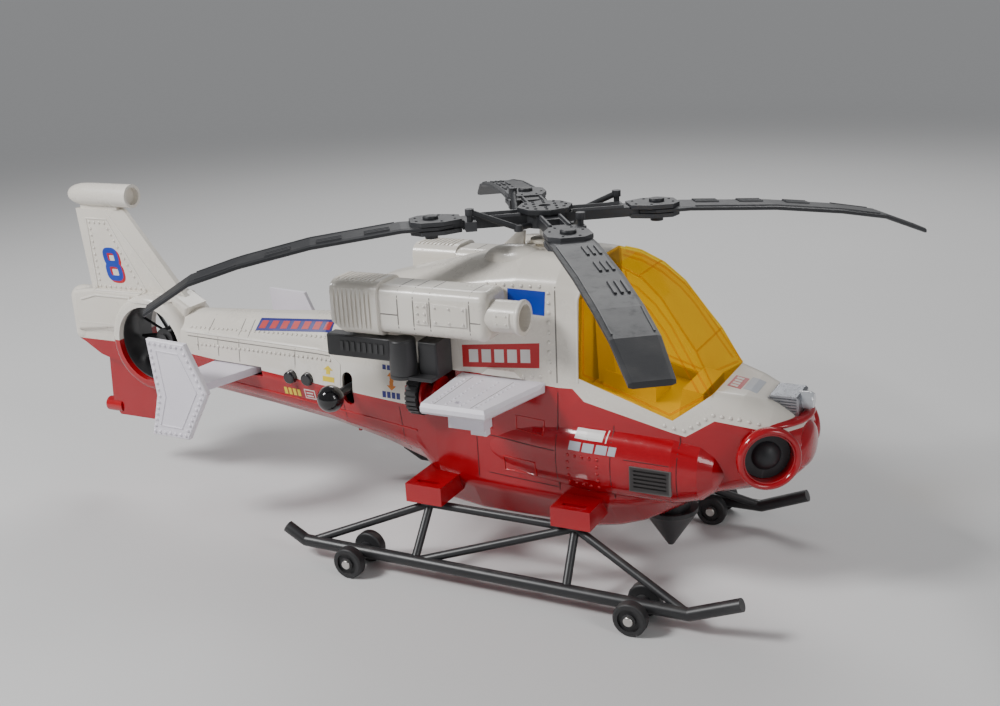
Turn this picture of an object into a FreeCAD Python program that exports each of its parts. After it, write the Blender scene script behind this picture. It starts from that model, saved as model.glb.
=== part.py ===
"""Toy rescue helicopter: a push-along construction toy with a lever-driven rotor, a swinging winch arm,
two sound buttons and skids on wheels.

Frame: +X is the nose, +Y is port, +Z is up. The origin is on the floor, at the middle of the overall
length and on the centre plane. All sizes are in millimetres.
"""
import FreeCAD, Part
import math
import os

V = FreeCAD.Vector
X_AXIS = V(1, 0, 0)
Y_AXIS = V(0, 1, 0)
Z_AXIS = V(0, 0, 1)
PORT = 1
STARBOARD = -1
SIDES = {"left": PORT, "right": STARBOARD}

# ---- driving dimensions: undercarriage ------------------------------------------------------------
wheelbase = 200.0
rear_axle_x = -5.0
skid_track = 162.0
wheel_r = 10.7
wheel_w = 7.6
wheel_gap = 1.2
axle_r = 1.5
axle_cap_r = 3.1
axle_cap_t = 1.6
running_clearance = 0.05
skid_tube_r = 4.2
skid_tube_z = 13.2
skid_boss_r = 5.0
skid_boss_w = 16.0
brace_r = 2.8
skid_front_reach = 64.2
skid_front_bend = 32.0
skid_front_rise = 13.0
skid_rear_reach = 58.6
skid_rear_bend = 44.0
skid_rear_rise = 8.0
rail_y = 56.0
rail_z = 44.0
strut_rear_x = 38.0
strut_front_x = 144.0
mount_w = 27.0
mount_h = 13.0
mount_z = 47.0
mount_reach = 64.0
mount_slot_w = 3.4
mount_slot_l = 16.0

# ---- driving dimensions: fuselage -----------------------------------------------------------------
wall = 2.4
edge_softness = 5.0
ledge_z = 134.0
boom_end_x = -196.0
deck_rear_x = -14.0
cabin_rear_x = 100.0
windscreen_foot_x = 226.6
windscreen_foot_z = 135.8
nose_tip_x = 276.0
belly_z = 30.0
clear_of_body = 140.0
roof_z = 213.0
cabin_half_w = 38.0

# ---- driving dimensions: tail ---------------------------------------------------------------------
duct_x = -226.4
duct_z = 120.0
duct_bore_r = 30.0
duct_rim_r = 38.5
duct_half_w = 21.0
fin_half_w = 7.0
fin_top_z = 221.0
pod_r = 9.0
pod_z = 231.5
pod_rear_x = -306.4
pod_front_x = -242.2
bumper_r = 10.0
bumper_x = -308.5
bumper_low_z = 110.0
bumper_high_z = 157.0
skeg_half_w = 4.0
skeg_low_z = 50.0
skeg_boss_r = 6.0
fan_blades = 11
fan_tip_gap = 1.4
fan_hub_r = 8.0
fan_w = 9.0
fan_pin_r = 2.0

# ---- driving dimensions: stabiliser and stub wings ------------------------------------------------
stab_z = 112.0
stab_t = 5.6
stab_root_y = 24.0
endplate_y = 70.7
endplate_t = 4.4
wing_z = 130.0
wing_t = 7.0
wing_span = 100.0
wing_hole_r = 2.2
wing_hole_y = 90.0
wing_hole_x = 84.0

# ---- driving dimensions: engine nacelles ----------------------------------------------------------
nacelle_inner_y = 37.0
nacelle_outer_y = 67.0
nacelle_low_z = 164.0
nacelle_high_z = 196.0
nacelle_rear_x = 16.5
nacelle_front_x = 94.0
nacelle_corner = 8.0
intake_r = 10.3
intake_wall = 1.8
intake_len = 21.0
exhaust_len = 35.0
exhaust_grow = 2.2
exhaust_wall = 2.5
exhaust_floor = 7.0
rib_count = 9
rib_depth = 0.9

# ---- driving dimensions: rotor --------------------------------------------------------------------
rotor_x = 105.3
rotor_z = 231.5
rotor_r = 255.0
blade_count = 4
blade_first_deg = 35.2
blade_half_w = 13.6
blade_t = 3.2
blade_bevel = 2.2
blade_droop = (1.0, 1.0, 1.42, 1.0)
shaft_r = 4.0
shaft_low_z = 140.0
bush_r = 7.0
bush_flange_r = 10.0
hub_r = 15.0
hub_t = 9.0
arm_half_w = 7.5
arm_t = 6.0
clamp_r = 14.0
clamp_t = 2.6
blade_pin_at = 73.5
blade_pin_r = 2.6
link_r = 1.9
link_at = 50.0
link_off = 12.5
blade_root_at = 60.0
ratchet_r = 17.0
ratchet_teeth = 16

# ---- driving dimensions: controls and winch -------------------------------------------------------
button_r = 4.6
button_flange_r = 6.0
button_travel = 1.5
button_x = (-86.0, -71.0)
button_z = 112.5
button_proud = 3.6
lever_x = -35.0
lever_z = 110.3
lever_pivot_y = 7.0
lever_r = 3.2
lever_pin_r = 3.0
knob_r = 9.3
knob_y = 56.0
slot_half_w = 4.4
slot_half_h = 12.0
winch_pivot_x = 28.0
winch_pivot_y = 60.0
winch_boss_r = 9.0
winch_pin_r = 3.0
winch_arm_len = 55.0
winch_arm_low_z = 145.5
winch_top_z = 160.5
winch_low_z = 137.0
winch_arm_w = 11.0
thumb_r = 15.0
thumb_w = 8.0
thumb_x = 29.4
thumb_y = 43.0
thumb_z = 118.0
thumb_ribs = 26
spool_w = 11.0
spool_r = 12.5
drum_axle_r = 2.0
bay_x = (22.5, 54.0)
bay_z = (101.5, 134.5)
bay_depth = 33.0

# ---- driving dimensions: cockpit, nose and inside pieces ------------------------------------------
canopy_t = 1.8
lamp_r = 15.0
lamp_x = 259.0
lamp_y = 30.0
lamp_z = 99.0
lamp_yaw_deg = -58.0
searchlight_x = 254.0
searchlight_z = 118.5
searchlight_len = 19.0
searchlight_w = 24.0
searchlight_h = 13.0
grille_x = (179.0, 206.0)
grille_z = (73.0, 89.5)
grille_t = 1.6
cone_x = 188.0
cone_r = 18.0
cone_tip_z = 15.0
battery_r = 7.1
battery_len = 50.0
battery_gap = 1.0
battery_box_x = (66.0, 124.0)
box_wall = 1.8
cover_t = 2.0
cover_gap = 0.4
speaker_r = 10.0
screw_r = 2.0
screw_len = 9.0

half_track = skid_track / 2
front_axle_x = rear_axle_x + wheelbase
wheel_in = skid_boss_w / 2 + wheel_gap
wheel_out = wheel_in + wheel_w


# ---- shared shape helpers -------------------------------------------------------------------------
def box(x0, x1, y0, y1, z0, z1):
    return Part.makeBox(x1 - x0, y1 - y0, z1 - z0, V(x0, y0, z0))


def rod(radius, start, end):
    """A round bar from one point to another."""
    along = end - start
    return Part.makeCylinder(radius, along.Length, start, along)


def fuse(shapes):
    """All the shapes as one solid, with leftover seams removed."""
    joined = shapes[0].multiFuse(shapes[1:]) if len(shapes) > 1 else shapes[0]
    return joined.removeSplitter()


def group(shapes):
    return Part.makeCompound(shapes)


def mirrored(shape):
    """The same piece on the other side of the centre plane."""
    return shape.mirror(V(0, 0, 0), Y_AXIS)


def on_side(shape, side):
    """A piece drawn on the port side, moved to the side that is asked for."""
    return shape if side == PORT else mirrored(shape)


def side_plate(outline, y0, y1):
    """A plate whose outline is drawn in side view, as (x, z) corners, between two widths."""
    corners = [V(x, y0, z) for x, z in outline]
    face = Part.Face(Part.makePolygon(corners + corners[:1]))
    return face.extrude(V(0, y1 - y0, 0))


def plan_plate(outline, z0, z1):
    """A plate whose outline is drawn from above, as (x, y) corners, between two heights."""
    corners = [V(x, y, z0) for x, y in outline]
    face = Part.Face(Part.makePolygon(corners + corners[:1]))
    return face.extrude(V(0, 0, z1 - z0))


def inset(corners, amount):
    """Corners of a convex outline moved in by an even wall."""
    count = len(corners)
    lines = []
    for i in range(count):
        (ya, za), (yb, zb) = corners[i], corners[(i + 1) % count]
        length = math.hypot(yb - ya, zb - za)
        ny, nz = (zb - za) / length, -(yb - ya) / length
        lines.append((ny, nz, ny * ya + nz * za - amount))
    moved = []
    for i in range(count):
        a1, b1, c1 = lines[i - 1]
        a2, b2, c2 = lines[i]
        det = a1 * b2 - a2 * b1
        moved.append(((c1 * b2 - c2 * b1) / det, (a1 * c2 - a2 * c1) / det))
    return moved


def rounded_wire(corners, place, softness):
    """A closed outline with each corner eased by a short curve; place turns (y, z) into a point."""
    count = len(corners)
    edges = []
    ends = []
    for i in range(count):
        y, z = corners[i]
        halves = []
        for j in (i - 1, (i + 1) % count):
            yj, zj = corners[j]
            length = math.hypot(yj - y, zj - z)
            share = min(0.42, softness / length)
            halves.append((y + (yj - y) * share, z + (zj - z) * share))
        ends.append(halves)
    for i in range(count):
        start, end = ends[i]
        curve = Part.BezierCurve()
        curve.setPoles([place(*start), place(*corners[i]), place(*end)])
        edges.append(curve.toShape())
        following = ends[(i + 1) % count][0]
        edges.append(Part.LineSegment(place(*end), place(*following)).toShape())
    return Part.Wire(edges)


def hull(stations, thinner, softness):
    """A body through cross-sections, each (x, half outline from the top centre down to the keel)."""
    wires = []
    last = len(stations) - 1
    for i, (x, half) in enumerate(stations):
        outline = [(y, z) for y, z in reversed(half)] + [(-y, z) for y, z in half]
        if thinner:
            outline = inset(outline, thinner)
            x += thinner if i == 0 else 0
            x -= thinner if i == last else 0
        wires.append(rounded_wire(outline, lambda y, z, x=x: V(x, y, z), softness))
    return Part.makeLoft(wires, True, True)


# ---- fuselage outline -----------------------------------------------------------------------------
def fuselage_stations():
    """Half outlines from tail to nose: roof, shoulder, ledge, waist, chine and keel corners."""
    w = cabin_half_w
    return [
        (boom_end_x, ((7, 146), (17, 138), (20.5, ledge_z), (21, 120), (18, 100), (9, 88))),
        (-118, ((8, 150), (20, 138), (25, ledge_z), (27, 113), (23, 92), (11, 81))),
        (-62, ((9, 154), (23, 138), (29, ledge_z), (33, 109), (27, 86), (13, 75))),
        (-44, ((10, 157), (26, 142), (32, ledge_z), (35, 108), (29, 83), (14, 72))),
        (deck_rear_x, ((11, 187), (31, 174), (35, ledge_z), (37, 107), (31, 80), (16, 66))),
        (18, ((12, 195), (w - 1, 187), (w, ledge_z), (w + 1, 106), (34, 74), (20, 58))),
        (36, ((13, 199), (w - 1, 190), (w, ledge_z), (w + 1.5, 105), (37, 60), (23, belly_z + 3))),
        (62, ((16, 206), (w - 0.5, 194), (w + 0.5, ledge_z), (w + 2, 104), (39, 56), (24, belly_z))),
        (cabin_rear_x, ((20, roof_z), (w, 198), (w + 1.5, ledge_z), (w + 3, 104), (41, 56), (24, belly_z))),
        (128, ((22, roof_z - 1), (w, 198), (w + 1.5, 133), (w + 4, 104), (42, 56), (24, belly_z))),
        (144, ((23, roof_z - 2), (w - 1, 190), (w + 2, 132), (w + 4, 104), (42, 56), (24, belly_z))),
        (162, ((23, 208.5), (w - 1.7, 183), (w + 2.6, 129), (w + 4, 103.5), (42, 57.5), (23, 33.5))),
        (178, ((23.5, 201), (35, 172), (w + 3, 126), (w + 4, 103), (41, 60), (22, 39))),
        (191, ((25.5, 189.5), (35.2, 162), (w + 3.6, 122.6), (w + 4, 102), (40, 63), (21, 46))),
        (204, ((27.5, 172), (35.5, 149), (w + 4, 119), (w + 4, 101), (39, 66), (20, 54))),
        (214, ((29, 159), (35.5, 141), (41, 120), (41, 101), (37, 69), (19, 60))),
        (windscreen_foot_x, ((32, windscreen_foot_z), (36, 130), (39, 120), (38.5, 101), (35, 73), (18, 66))),
        (243, ((25, 133), (32.5, 126), (35.5, 118), (35.5, 102), (32, 78), (17, 70))),
        (260, ((18, 127), (28, 120.5), (32.5, 114.5), (33, 102), (28, 83), (16, 74.5))),
        (270, ((13, 121), (22, 116.5), (27, 112.5), (27.5, 103), (23, 87), (14, 79))),
        (nose_tip_x, ((7, 116), (13, 113.5), (17, 111), (18, 103), (15, 91), (9, 84.5))),
    ]


def sponson_stations():
    """The low side bulges, drawn right across the body: half width, bottom and top at each station."""
    rows = [
        (64, 38, 68, 103), (110, 45.5, 62, 110), (150, 49.5, 60, 112), (205, 51, 62, 110),
        (221, 48, 66, 106), (229, 42.5, 72, 100), (234, 35, 79, 93),
    ]
    stations = []
    for x, half_w, low, high in rows:
        tall = high - low
        mid = (high + low) / 2
        stations.append((x, (
            (half_w * 0.72, high), (half_w * 0.93, high - tall * 0.14), (half_w, mid + tall * 0.12),
            (half_w, mid - tall * 0.12), (half_w * 0.93, low + tall * 0.14), (half_w * 0.72, low),
        )))
    return stations


def fuselage_body(thinner):
    """The closed outer form, or the hollow inside it when a wall thickness is given."""
    softness = edge_softness if not thinner else edge_softness - wall
    main = hull(fuselage_stations(), thinner, softness)
    sponson = hull(sponson_stations(), thinner, softness)
    return main.fuse(sponson)


def tail_body():
    """Duct rim, fin, its saddle and the skeg, joined to the end of the boom."""
    rim = Part.makeCylinder(duct_rim_r, 2 * duct_half_w, V(duct_x, -duct_half_w, duct_z), Y_AXIS)
    rim = rim.makeFillet(6.0, [e for e in rim.Edges if e.Length > 5 * duct_rim_r])
    neck = hull(
        [(boom_end_x - 34, ((7, 150), (15, 141), (18, 134), (19, 120), (17, 104), (9, 94))),
         (boom_end_x, ((7, 146), (17, 138), (20.5, ledge_z), (21, 120), (18, 100), (9, 88)))],
        0, 5.0,
    )
    saddle = side_plate(
        [(bumper_x, 122), (bumper_x, 155), (-288, 158), (-205, 158), (boom_end_x + 5, 150),
         (boom_end_x, 135)],
        -12, 12,
    )
    saddle = saddle.makeFillet(3.0, [e for e in saddle.Edges if abs(e.tangentAt(e.FirstParameter).y) < 0.1])
    fin = fin_body()
    heel = side_plate([(bumper_x, 123), (bumper_x, 114), (-290, 103), (-258, 94), (-258, 123)], -9, 9)
    skeg = side_plate(
        [(-290, 112), (-287, 100), (-290, skeg_low_z + 10), (-284, skeg_low_z), (-240, skeg_low_z),
         (-205, 84)],
        -skeg_half_w, skeg_half_w,
    )
    boss = rod(skeg_boss_r, V(-297, 0, skeg_low_z + 7), V(-281, 0, skeg_low_z + 7))
    bumper = rod(bumper_r, V(bumper_x, 0, bumper_low_z), V(bumper_x, 0, bumper_high_z))
    bumper = bumper.makeFillet(bumper_r - 1.0, [e for e in bumper.Edges if e.isClosed()])
    return fuse([rim, neck, saddle, fin, heel, skeg, boss, bumper])


def fin_body():
    """The swept fin, thinner at the top and chamfered down its leading edge."""
    bottom = [(-290, 150), (-216, 150), (-196, 150)]
    top = [(-298, fin_top_z), (-266, fin_top_z), (-252, fin_top_z)]

    def ring(points, half_w, edge_w):
        (xr, z), (xm, _), (xf, _) = points
        corners = [(xr, -half_w), (xm, -half_w), (xf, -edge_w), (xf, edge_w), (xm, half_w), (xr, half_w)]
        wire = [V(x, y, z) for x, y in corners]
        return Part.makePolygon(wire + wire[:1])

    return Part.makeLoft([ring(bottom, fin_half_w, 2.6), ring(top, fin_half_w - 2.0, 1.8)], True, True)


# ---- regions that share the body out between its pieces, in side view -----------------------------
def colour_line():
    """The joint between the white upper and the red lower shell, from tail to nose."""
    return [
        (-330, 115), (duct_x - 42, 115), (duct_x - 38, 121), (duct_x - 22, 121), (-118, 113),
        (-40, 109), (bay_x[0] - wall, 105.5), (bay_x[0] - wall, ledge_z + 0.5),
        (72, ledge_z + 0.5), (128, 131), (138, 131.5), (146, 124), (212, 109.5), (229, 120.5),
        (256, 116), (290, 112),
    ]


def canopy_outline():
    """The glazed region: sill, apex, windscreen foot and everything above them."""
    return [(142, 138.6), (204, 119), (windscreen_foot_x + 0.8, windscreen_foot_z + 0.4), (300, 150),
            (300, 260), (148, 260), (147.5, 210), (142.8, 189)]


def above(line, top):
    return line + [(line[-1][0], top), (line[0][0], top)]


def below(line, low):
    return line + [(line[-1][0], low), (line[0][0], low)]


def slab(outline):
    return side_plate(outline, -clear_of_body, clear_of_body)


# ---- pieces of the fuselage -----------------------------------------------------------------------
def shells(outer):
    """Upper shell, lower shell and canopy, cut from one hollow body so that their edges meet."""
    hollow = fuselage_body(wall)
    skin = outer.cut(hollow)
    canopy_zone = slab(canopy_outline())
    glazing = outer.cut(fuselage_body(canopy_t)).common(canopy_zone)
    tail = tail_body().cut(duct_bore()).cut(hollow)
    shell = skin.cut(canopy_zone).fuse(tail)
    line = colour_line()
    upper = shell.common(slab(above(line, 300)))
    lower = shell.common(slab(below(line, -20)))
    return upper, lower, glazing


def duct_bore():
    return Part.makeCylinder(duct_bore_r, 80, V(duct_x, -40, duct_z), Y_AXIS)


def controls_cuts():
    """Holes in the starboard side for the lever, the buttons and the thumbwheel bay."""
    y0, y1 = -clear_of_body, -12
    straight = slot_half_h - slot_half_w
    cuts = [box(lever_x - slot_half_w, lever_x + slot_half_w, y0, y1, lever_z - straight, lever_z + straight)]
    for end in (-straight, straight):
        cuts.append(rod(slot_half_w, V(lever_x, y0, lever_z + end), V(lever_x, y1, lever_z + end)))
    for x in button_x:
        cuts.append(rod(button_r + 0.3, V(x, y0, button_z), V(x, y1, button_z)))
    return fuse(cuts)


def bay_back():
    return bay_depth - cabin_half_w - 1


def bay_cut():
    return box(bay_x[0], bay_x[1], -clear_of_body, bay_back(), bay_z[0], bay_z[1] - 0.001)


def bay_liner():
    """The closed pocket that holds the thumbwheel and spool, with bearing holes in its end walls."""
    back = bay_back()
    front = 1 - cabin_half_w
    shell = box(bay_x[0] - wall, bay_x[1] + wall, front, back + wall, bay_z[0] - wall, bay_z[1] - 2)
    hollow = box(bay_x[0], bay_x[1], -clear_of_body, back, bay_z[0], bay_z[1])
    bearing_x = bay_x[0] - wall - 1
    bearing = rod(drum_axle_r + running_clearance, V(bearing_x, -thumb_y, thumb_z),
                  V(bay_x[1] + wall + 1, -thumb_y, thumb_z))
    ears = [box(x0, x0 + wall, -thumb_y - 5, -cabin_half_w + 1, thumb_z - 5, thumb_z + 5)
            for x0 in (bay_x[0] - wall, bay_x[1])]
    return fuse([shell.cut(hollow)] + ears).cut(bearing)


def skid_mounts():
    """Four red brackets under the belly, with slotted tops."""
    blocks = []
    slots = []
    for x in (strut_rear_x, strut_front_x):
        for side in SIDES.values():
            block = box(x - mount_w / 2, x + mount_w / 2, 22, mount_reach, mount_z, mount_z + mount_h)
            slot_y = mount_reach - 9
            slot = box(x - mount_slot_l / 2, x + mount_slot_l / 2, slot_y, slot_y + mount_slot_w,
                       mount_z + 5, mount_z + 30)
            blocks.append(on_side(block, side))
            slots.append(on_side(slot, side))
    return fuse(blocks).cut(group(slots))


def lever_lugs():
    """Two ribs on the lower shell that carry the lever's cross pin."""
    lugs = []
    for offset in (-9.0, 7.0):
        x0 = lever_x + offset
        lugs.append(box(x0, x0 + 2.0, -lever_pivot_y - 6, -lever_pivot_y + 6, 70, lever_z + 6))
    pin_hole = rod(lever_pin_r + running_clearance, V(lever_x - 20, -lever_pivot_y, lever_z),
                   V(lever_x + 20, -lever_pivot_y, lever_z))
    return [lug.cut(pin_hole) for lug in lugs]


def battery_cover_outline(gap):
    x0, x1 = battery_box_x
    half = battery_r * 2 + battery_gap + box_wall
    return x0 + gap, x1 - gap, half - gap


def upper_shell(shape):
    roof_hole = rod(bush_r + running_clearance, V(rotor_x, 0, roof_z - 20), V(rotor_x, 0, roof_z + 20))
    return shape.cut(fuse([controls_cuts(), roof_hole]))


def lower_shell(shape):
    x0, x1, half = battery_cover_outline(0)
    hatch = box(x0, x1, -half, half, belly_z - 5, belly_z + wall + 0.1)
    grilles = [on_side(grille_box(0), side) for side in SIDES.values()]
    lamps = [on_side(lamp_recess(), side) for side in SIDES.values()]
    base = shape.cut(fuse([controls_cuts(), bay_cut(), hatch] + grilles + lamps))
    low_side = slab(below(colour_line(), -20))
    cups = [on_side(lamp_cup(), side).common(low_side) for side in SIDES.values()]
    return fuse([base, bay_liner(), skid_mounts()] + lever_lugs() + cups)


# ---- lamps, grilles, cone -------------------------------------------------------------------------
def lamp_axis():
    yaw = math.radians(-lamp_yaw_deg)
    return V(math.cos(yaw), math.sin(yaw), 0)


def lamp_mouth():
    return V(lamp_x, lamp_y, lamp_z) + lamp_axis() * 5.0


def lamp_recess():
    deep = lamp_mouth() - lamp_axis() * 20.0
    return rod(lamp_r, deep, lamp_mouth() + lamp_axis() * 12.0)


def lamp_cup():
    """The round red cup that holds a nose lamp."""
    mouth = lamp_mouth()
    back = mouth - lamp_axis() * 14.0
    outer = rod(lamp_r + 1.8, back, mouth)
    inner = rod(lamp_r, back + lamp_axis() * wall, mouth + lamp_axis() * 3.0)
    return outer.cut(inner)


def lamp_lens():
    """A black domed lens that fills the cup."""
    base = lamp_mouth() - lamp_axis() * (14.0 - wall)
    plate = rod(lamp_r - 0.3, base, base + lamp_axis() * 5.0)
    dome_r = 10.0
    dome = Part.makeSphere(dome_r, base + lamp_axis() * 1.0)
    return fuse([plate, dome.common(rod(lamp_r - 0.3, base, base + lamp_axis() * 14.0))])


def grille_box(gap):
    return box(grille_x[0] + gap, grille_x[1] - gap, 49.0, 60.0, grille_z[0] + gap, grille_z[1] - gap)


def side_grille():
    """A dark slotted plate let into the sponson."""
    plate = box(grille_x[0] + 0.1, grille_x[1] - 0.1, 49.0, 49.0 + grille_t + 0.8, grille_z[0] + 0.1,
                grille_z[1] - 0.1)
    slots = []
    for i in range(5):
        z = grille_z[0] + 3.0 + i * 2.6
        slots.append(box(grille_x[0] + 3, grille_x[1] - 3, 50.4, 53.0, z, z + 1.2))
    return plate.cut(group(slots))


def belly_cone():
    """The black inverted cone under the front of the belly."""
    cone = Part.makeCone(2.0, cone_r, 40.0 - cone_tip_z, V(cone_x, 0, cone_tip_z), Z_AXIS)
    flange = Part.makeCylinder(cone_r, 3.0, V(cone_x, 0, 40.0), Z_AXIS)
    stem = Part.makeCylinder(cone_r - 5, 8.0, V(cone_x, 0, 42.0), Z_AXIS)
    return fuse([cone, flange, stem])


def searchlight():
    """Ribbed bright box on the nose deck, with a socket for its round lens."""
    x0 = searchlight_x
    z0 = searchlight_z
    body = box(x0, x0 + searchlight_len, -searchlight_w / 2, searchlight_w / 2, z0, z0 + searchlight_h)
    body = body.makeChamfer(1.6, [e for e in body.Edges if abs(e.Length - searchlight_w) < 0.01])
    grooves = []
    for i in range(6):
        z = z0 + 2.0 + i * 1.8
        for y0 in (-searchlight_w / 2 - 1, searchlight_w / 2 - 0.9):
            grooves.append(box(x0 + 1.5, x0 + searchlight_len - 1.5, y0, y0 + 1.9, z, z + 0.8))
    socket = rod(5.6, V(x0 + searchlight_len - 3, 0, z0 + 8), V(x0 + searchlight_len + 1, 0, z0 + 8))
    return body.cut(group(grooves)).cut(socket)


def searchlight_lens():
    x0 = searchlight_x + searchlight_len - 3.0
    z = searchlight_z + 8.0
    barrel = rod(5.5, V(x0, 0, z), V(x0 + 6.0, 0, z))
    dome = Part.makeSphere(5.5, V(x0 + 6.0, 0, z))
    return fuse([barrel, dome.common(box(x0, x0 + 9.5, -8, 8, z - 9, z + 9))])


# ---- tail pieces ----------------------------------------------------------------------------------
def tail_pod():
    """Bullet on top of the fin: pointed at the back, with a ring end at the front."""
    length = pod_front_x - pod_rear_x
    nose = 24.0
    outline = [V(pod_rear_x + nose, 0, 0), V(pod_front_x, 0, 0), V(pod_front_x, 0, pod_r)]
    side = Part.makePolygon(outline + [V(pod_rear_x + nose, 0, pod_r)])
    curve = Part.BezierCurve()
    curve.setPoles([V(pod_rear_x + nose, 0, pod_r), V(pod_rear_x + 3, 0, pod_r), V(pod_rear_x, 0, 4),
                    V(pod_rear_x, 0, 0)])
    close = Part.LineSegment(V(pod_rear_x, 0, 0), V(pod_rear_x + nose, 0, 0)).toShape()
    wire = Part.Wire(side.Edges + [curve.toShape(), close])
    bullet = Part.Face(wire).revolve(V(0, 0, 0), X_AXIS, 360)
    bullet = bullet.translated(V(0, 0, pod_z))
    bore = rod(pod_r - 2.2, V(pod_front_x - 5, 0, pod_z), V(pod_front_x + 1, 0, pod_z))
    foot = box(pod_rear_x + length * 0.2, pod_front_x - 14, -4, 4, fin_top_z, pod_z - 2)
    return fuse([bullet.cut(bore), foot])


def tail_fan_bracket():
    """Three-armed spider in the duct, with the pin that the fan turns on."""
    y0 = duct_half_w - 6.0
    hub = rod(fan_hub_r, V(duct_x, y0, duct_z), V(duct_x, y0 + 4, duct_z))
    arms = []
    for i in range(3):
        arm = box(-2.0, 2.0, 0, 4.0, 0, duct_bore_r - 0.05)
        arm.rotate(V(0, 0, 0), Y_AXIS, 90 + 120 * i)
        arms.append(arm.translated(V(duct_x, y0, duct_z)))
    head_y = y0 - 2 * fan_w - 2.2
    pin = rod(fan_pin_r, V(duct_x, y0, duct_z), V(duct_x, head_y, duct_z))
    head = rod(fan_pin_r + 1.6, V(duct_x, head_y, duct_z), V(duct_x, head_y + 1.6, duct_z))
    return fuse([hub, pin, head] + arms)


def tail_fan():
    """Many-bladed fan in the duct."""
    y1 = duct_half_w - 6.4
    y0 = y1 - 2 * fan_w + 0.2
    hub = rod(fan_hub_r, V(duct_x, y0, duct_z), V(duct_x, y1, duct_z))
    blades = []
    tip = duct_bore_r - fan_tip_gap
    for i in range(fan_blades):
        blade = box(-0.9, 0.9, -fan_w / 2, fan_w / 2, fan_hub_r - 1.5, tip - 0.6)
        blade.rotate(V(0, 0, 0), Z_AXIS, 38)
        blade.rotate(V(0, 0, 0), Y_AXIS, 360.0 / fan_blades * i)
        blades.append(blade.translated(V(duct_x, (y0 + y1) / 2, duct_z)))
    bore = rod(fan_pin_r + running_clearance, V(duct_x, y0 - 5, duct_z), V(duct_x, y1 + 5, duct_z))
    return fuse([hub] + blades).cut(bore)


def stabiliser():
    """Tailplane half with its kinked endplate, port side."""
    drop = 3.2
    root = [(-160, -118), stab_z]
    tip = [(-172, -141), stab_z - drop]

    def ring(x_pair, y, z):
        (xr, xf), half = x_pair, stab_t / 2
        corners = [V(xr, y, z - half), V(xf, y, z - half), V(xf, y, z + half), V(xr, y, z + half)]
        return Part.makePolygon(corners + corners[:1])

    ends = [ring(root[0], stab_root_y - 10, root[1]), ring(tip[0], endplate_y, tip[1])]
    plane = Part.makeLoft(ends, True, True)
    outline = [(-177, 145.5), (-143, 144), (-127, 109), (-149, 71.8), (-182.5, 72.2), (-173.5, 103)]
    outside = endplate_y + endplate_t
    end = side_plate(outline, endplate_y, outside)
    end = end.makeChamfer(0.8, [e for e in end.Edges if abs(e.CenterOfMass.y - outside) < 0.01])
    return fuse([plane, end])


def stabiliser_slot():
    """The hole in the boom that both tailplane halves push into."""
    low = stab_z - stab_t / 2 - 1.2
    return box(-162, -115, -clear_of_body, clear_of_body, low, low + stab_t + 1.8)


def stub_wing():
    """Port stub wing with its boss and pylon; the tip hole takes a clip-on accessory."""
    root_y = cabin_half_w - 4
    outline = [(58.5, root_y), (119, root_y), (119, 47), (107, wing_span), (62.5, wing_span)]
    plate = plan_plate(outline, wing_z - wing_t / 2, wing_z + wing_t / 2)
    round_off = [e for e in plate.Edges if abs(e.CenterOfMass.y - wing_span) < 0.01 and e.Length > 20]
    round_off += [e for e in plate.Edges if e.CenterOfMass.x > 108 and abs(e.CenterOfMass.z - wing_z) > 1
                  and e.CenterOfMass.y > 48 and e not in round_off]
    plate = plate.makeChamfer(wing_t * 0.3, round_off)
    boss_y = wing_hole_y - 12
    boss = rod(5.0, V(wing_hole_x, boss_y, wing_z - 14), V(wing_hole_x, boss_y, wing_z))
    pylon = box(72, 97, 72, 83, wing_z - 17, wing_z - 2)
    step = box(86, 97, 75, 80, wing_z - 21, wing_z - 16)
    hole = rod(wing_hole_r, V(wing_hole_x, wing_hole_y, wing_z - 30), V(wing_hole_x, wing_hole_y, wing_z + 9))
    return fuse([plate, boss, pylon, step]).cut(hole)


# ---- nacelles -------------------------------------------------------------------------------------
def nacelle_block(x0, x1, grow, corner):
    """A rounded box along the body side."""
    y0, y1 = nacelle_inner_y, nacelle_outer_y + grow
    z0, z1 = nacelle_low_z - grow, nacelle_high_z + grow
    outline = [(y0, z1), (y0, z0), (y1, z0), (y1, z1)]
    wires = [rounded_wire(outline, lambda y, z, x=x: V(x, y, z), corner) for x in (x0, x1)]
    return Part.makeLoft(wires, True, True)


def nacelle():
    """Port engine nacelle, hollow, with its intake tube at the front."""
    centre_y = (nacelle_inner_y + nacelle_outer_y) / 2 + 3.5
    centre_z = (nacelle_low_z + nacelle_high_z) / 2
    skin = nacelle_block(nacelle_rear_x, nacelle_front_x, 0, nacelle_corner)
    front = [e for e in skin.Edges if abs(e.CenterOfMass.x - nacelle_front_x) < 0.01]
    skin = skin.makeFillet(5.0, front)
    hollow = box(nacelle_rear_x + wall, nacelle_front_x - 8, nacelle_inner_y + wall, nacelle_outer_y - 4,
                 nacelle_low_z + 4, nacelle_high_z - 4)
    tube_end = nacelle_front_x + intake_len
    tube = rod(intake_r, V(nacelle_front_x - 6, centre_y, centre_z), V(tube_end, centre_y, centre_z))
    bore = rod(intake_r - intake_wall, V(nacelle_front_x + 2, centre_y, centre_z),
               V(tube_end + 1, centre_y, centre_z))
    return fuse([skin.cut(hollow), tube]).cut(bore)


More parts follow.
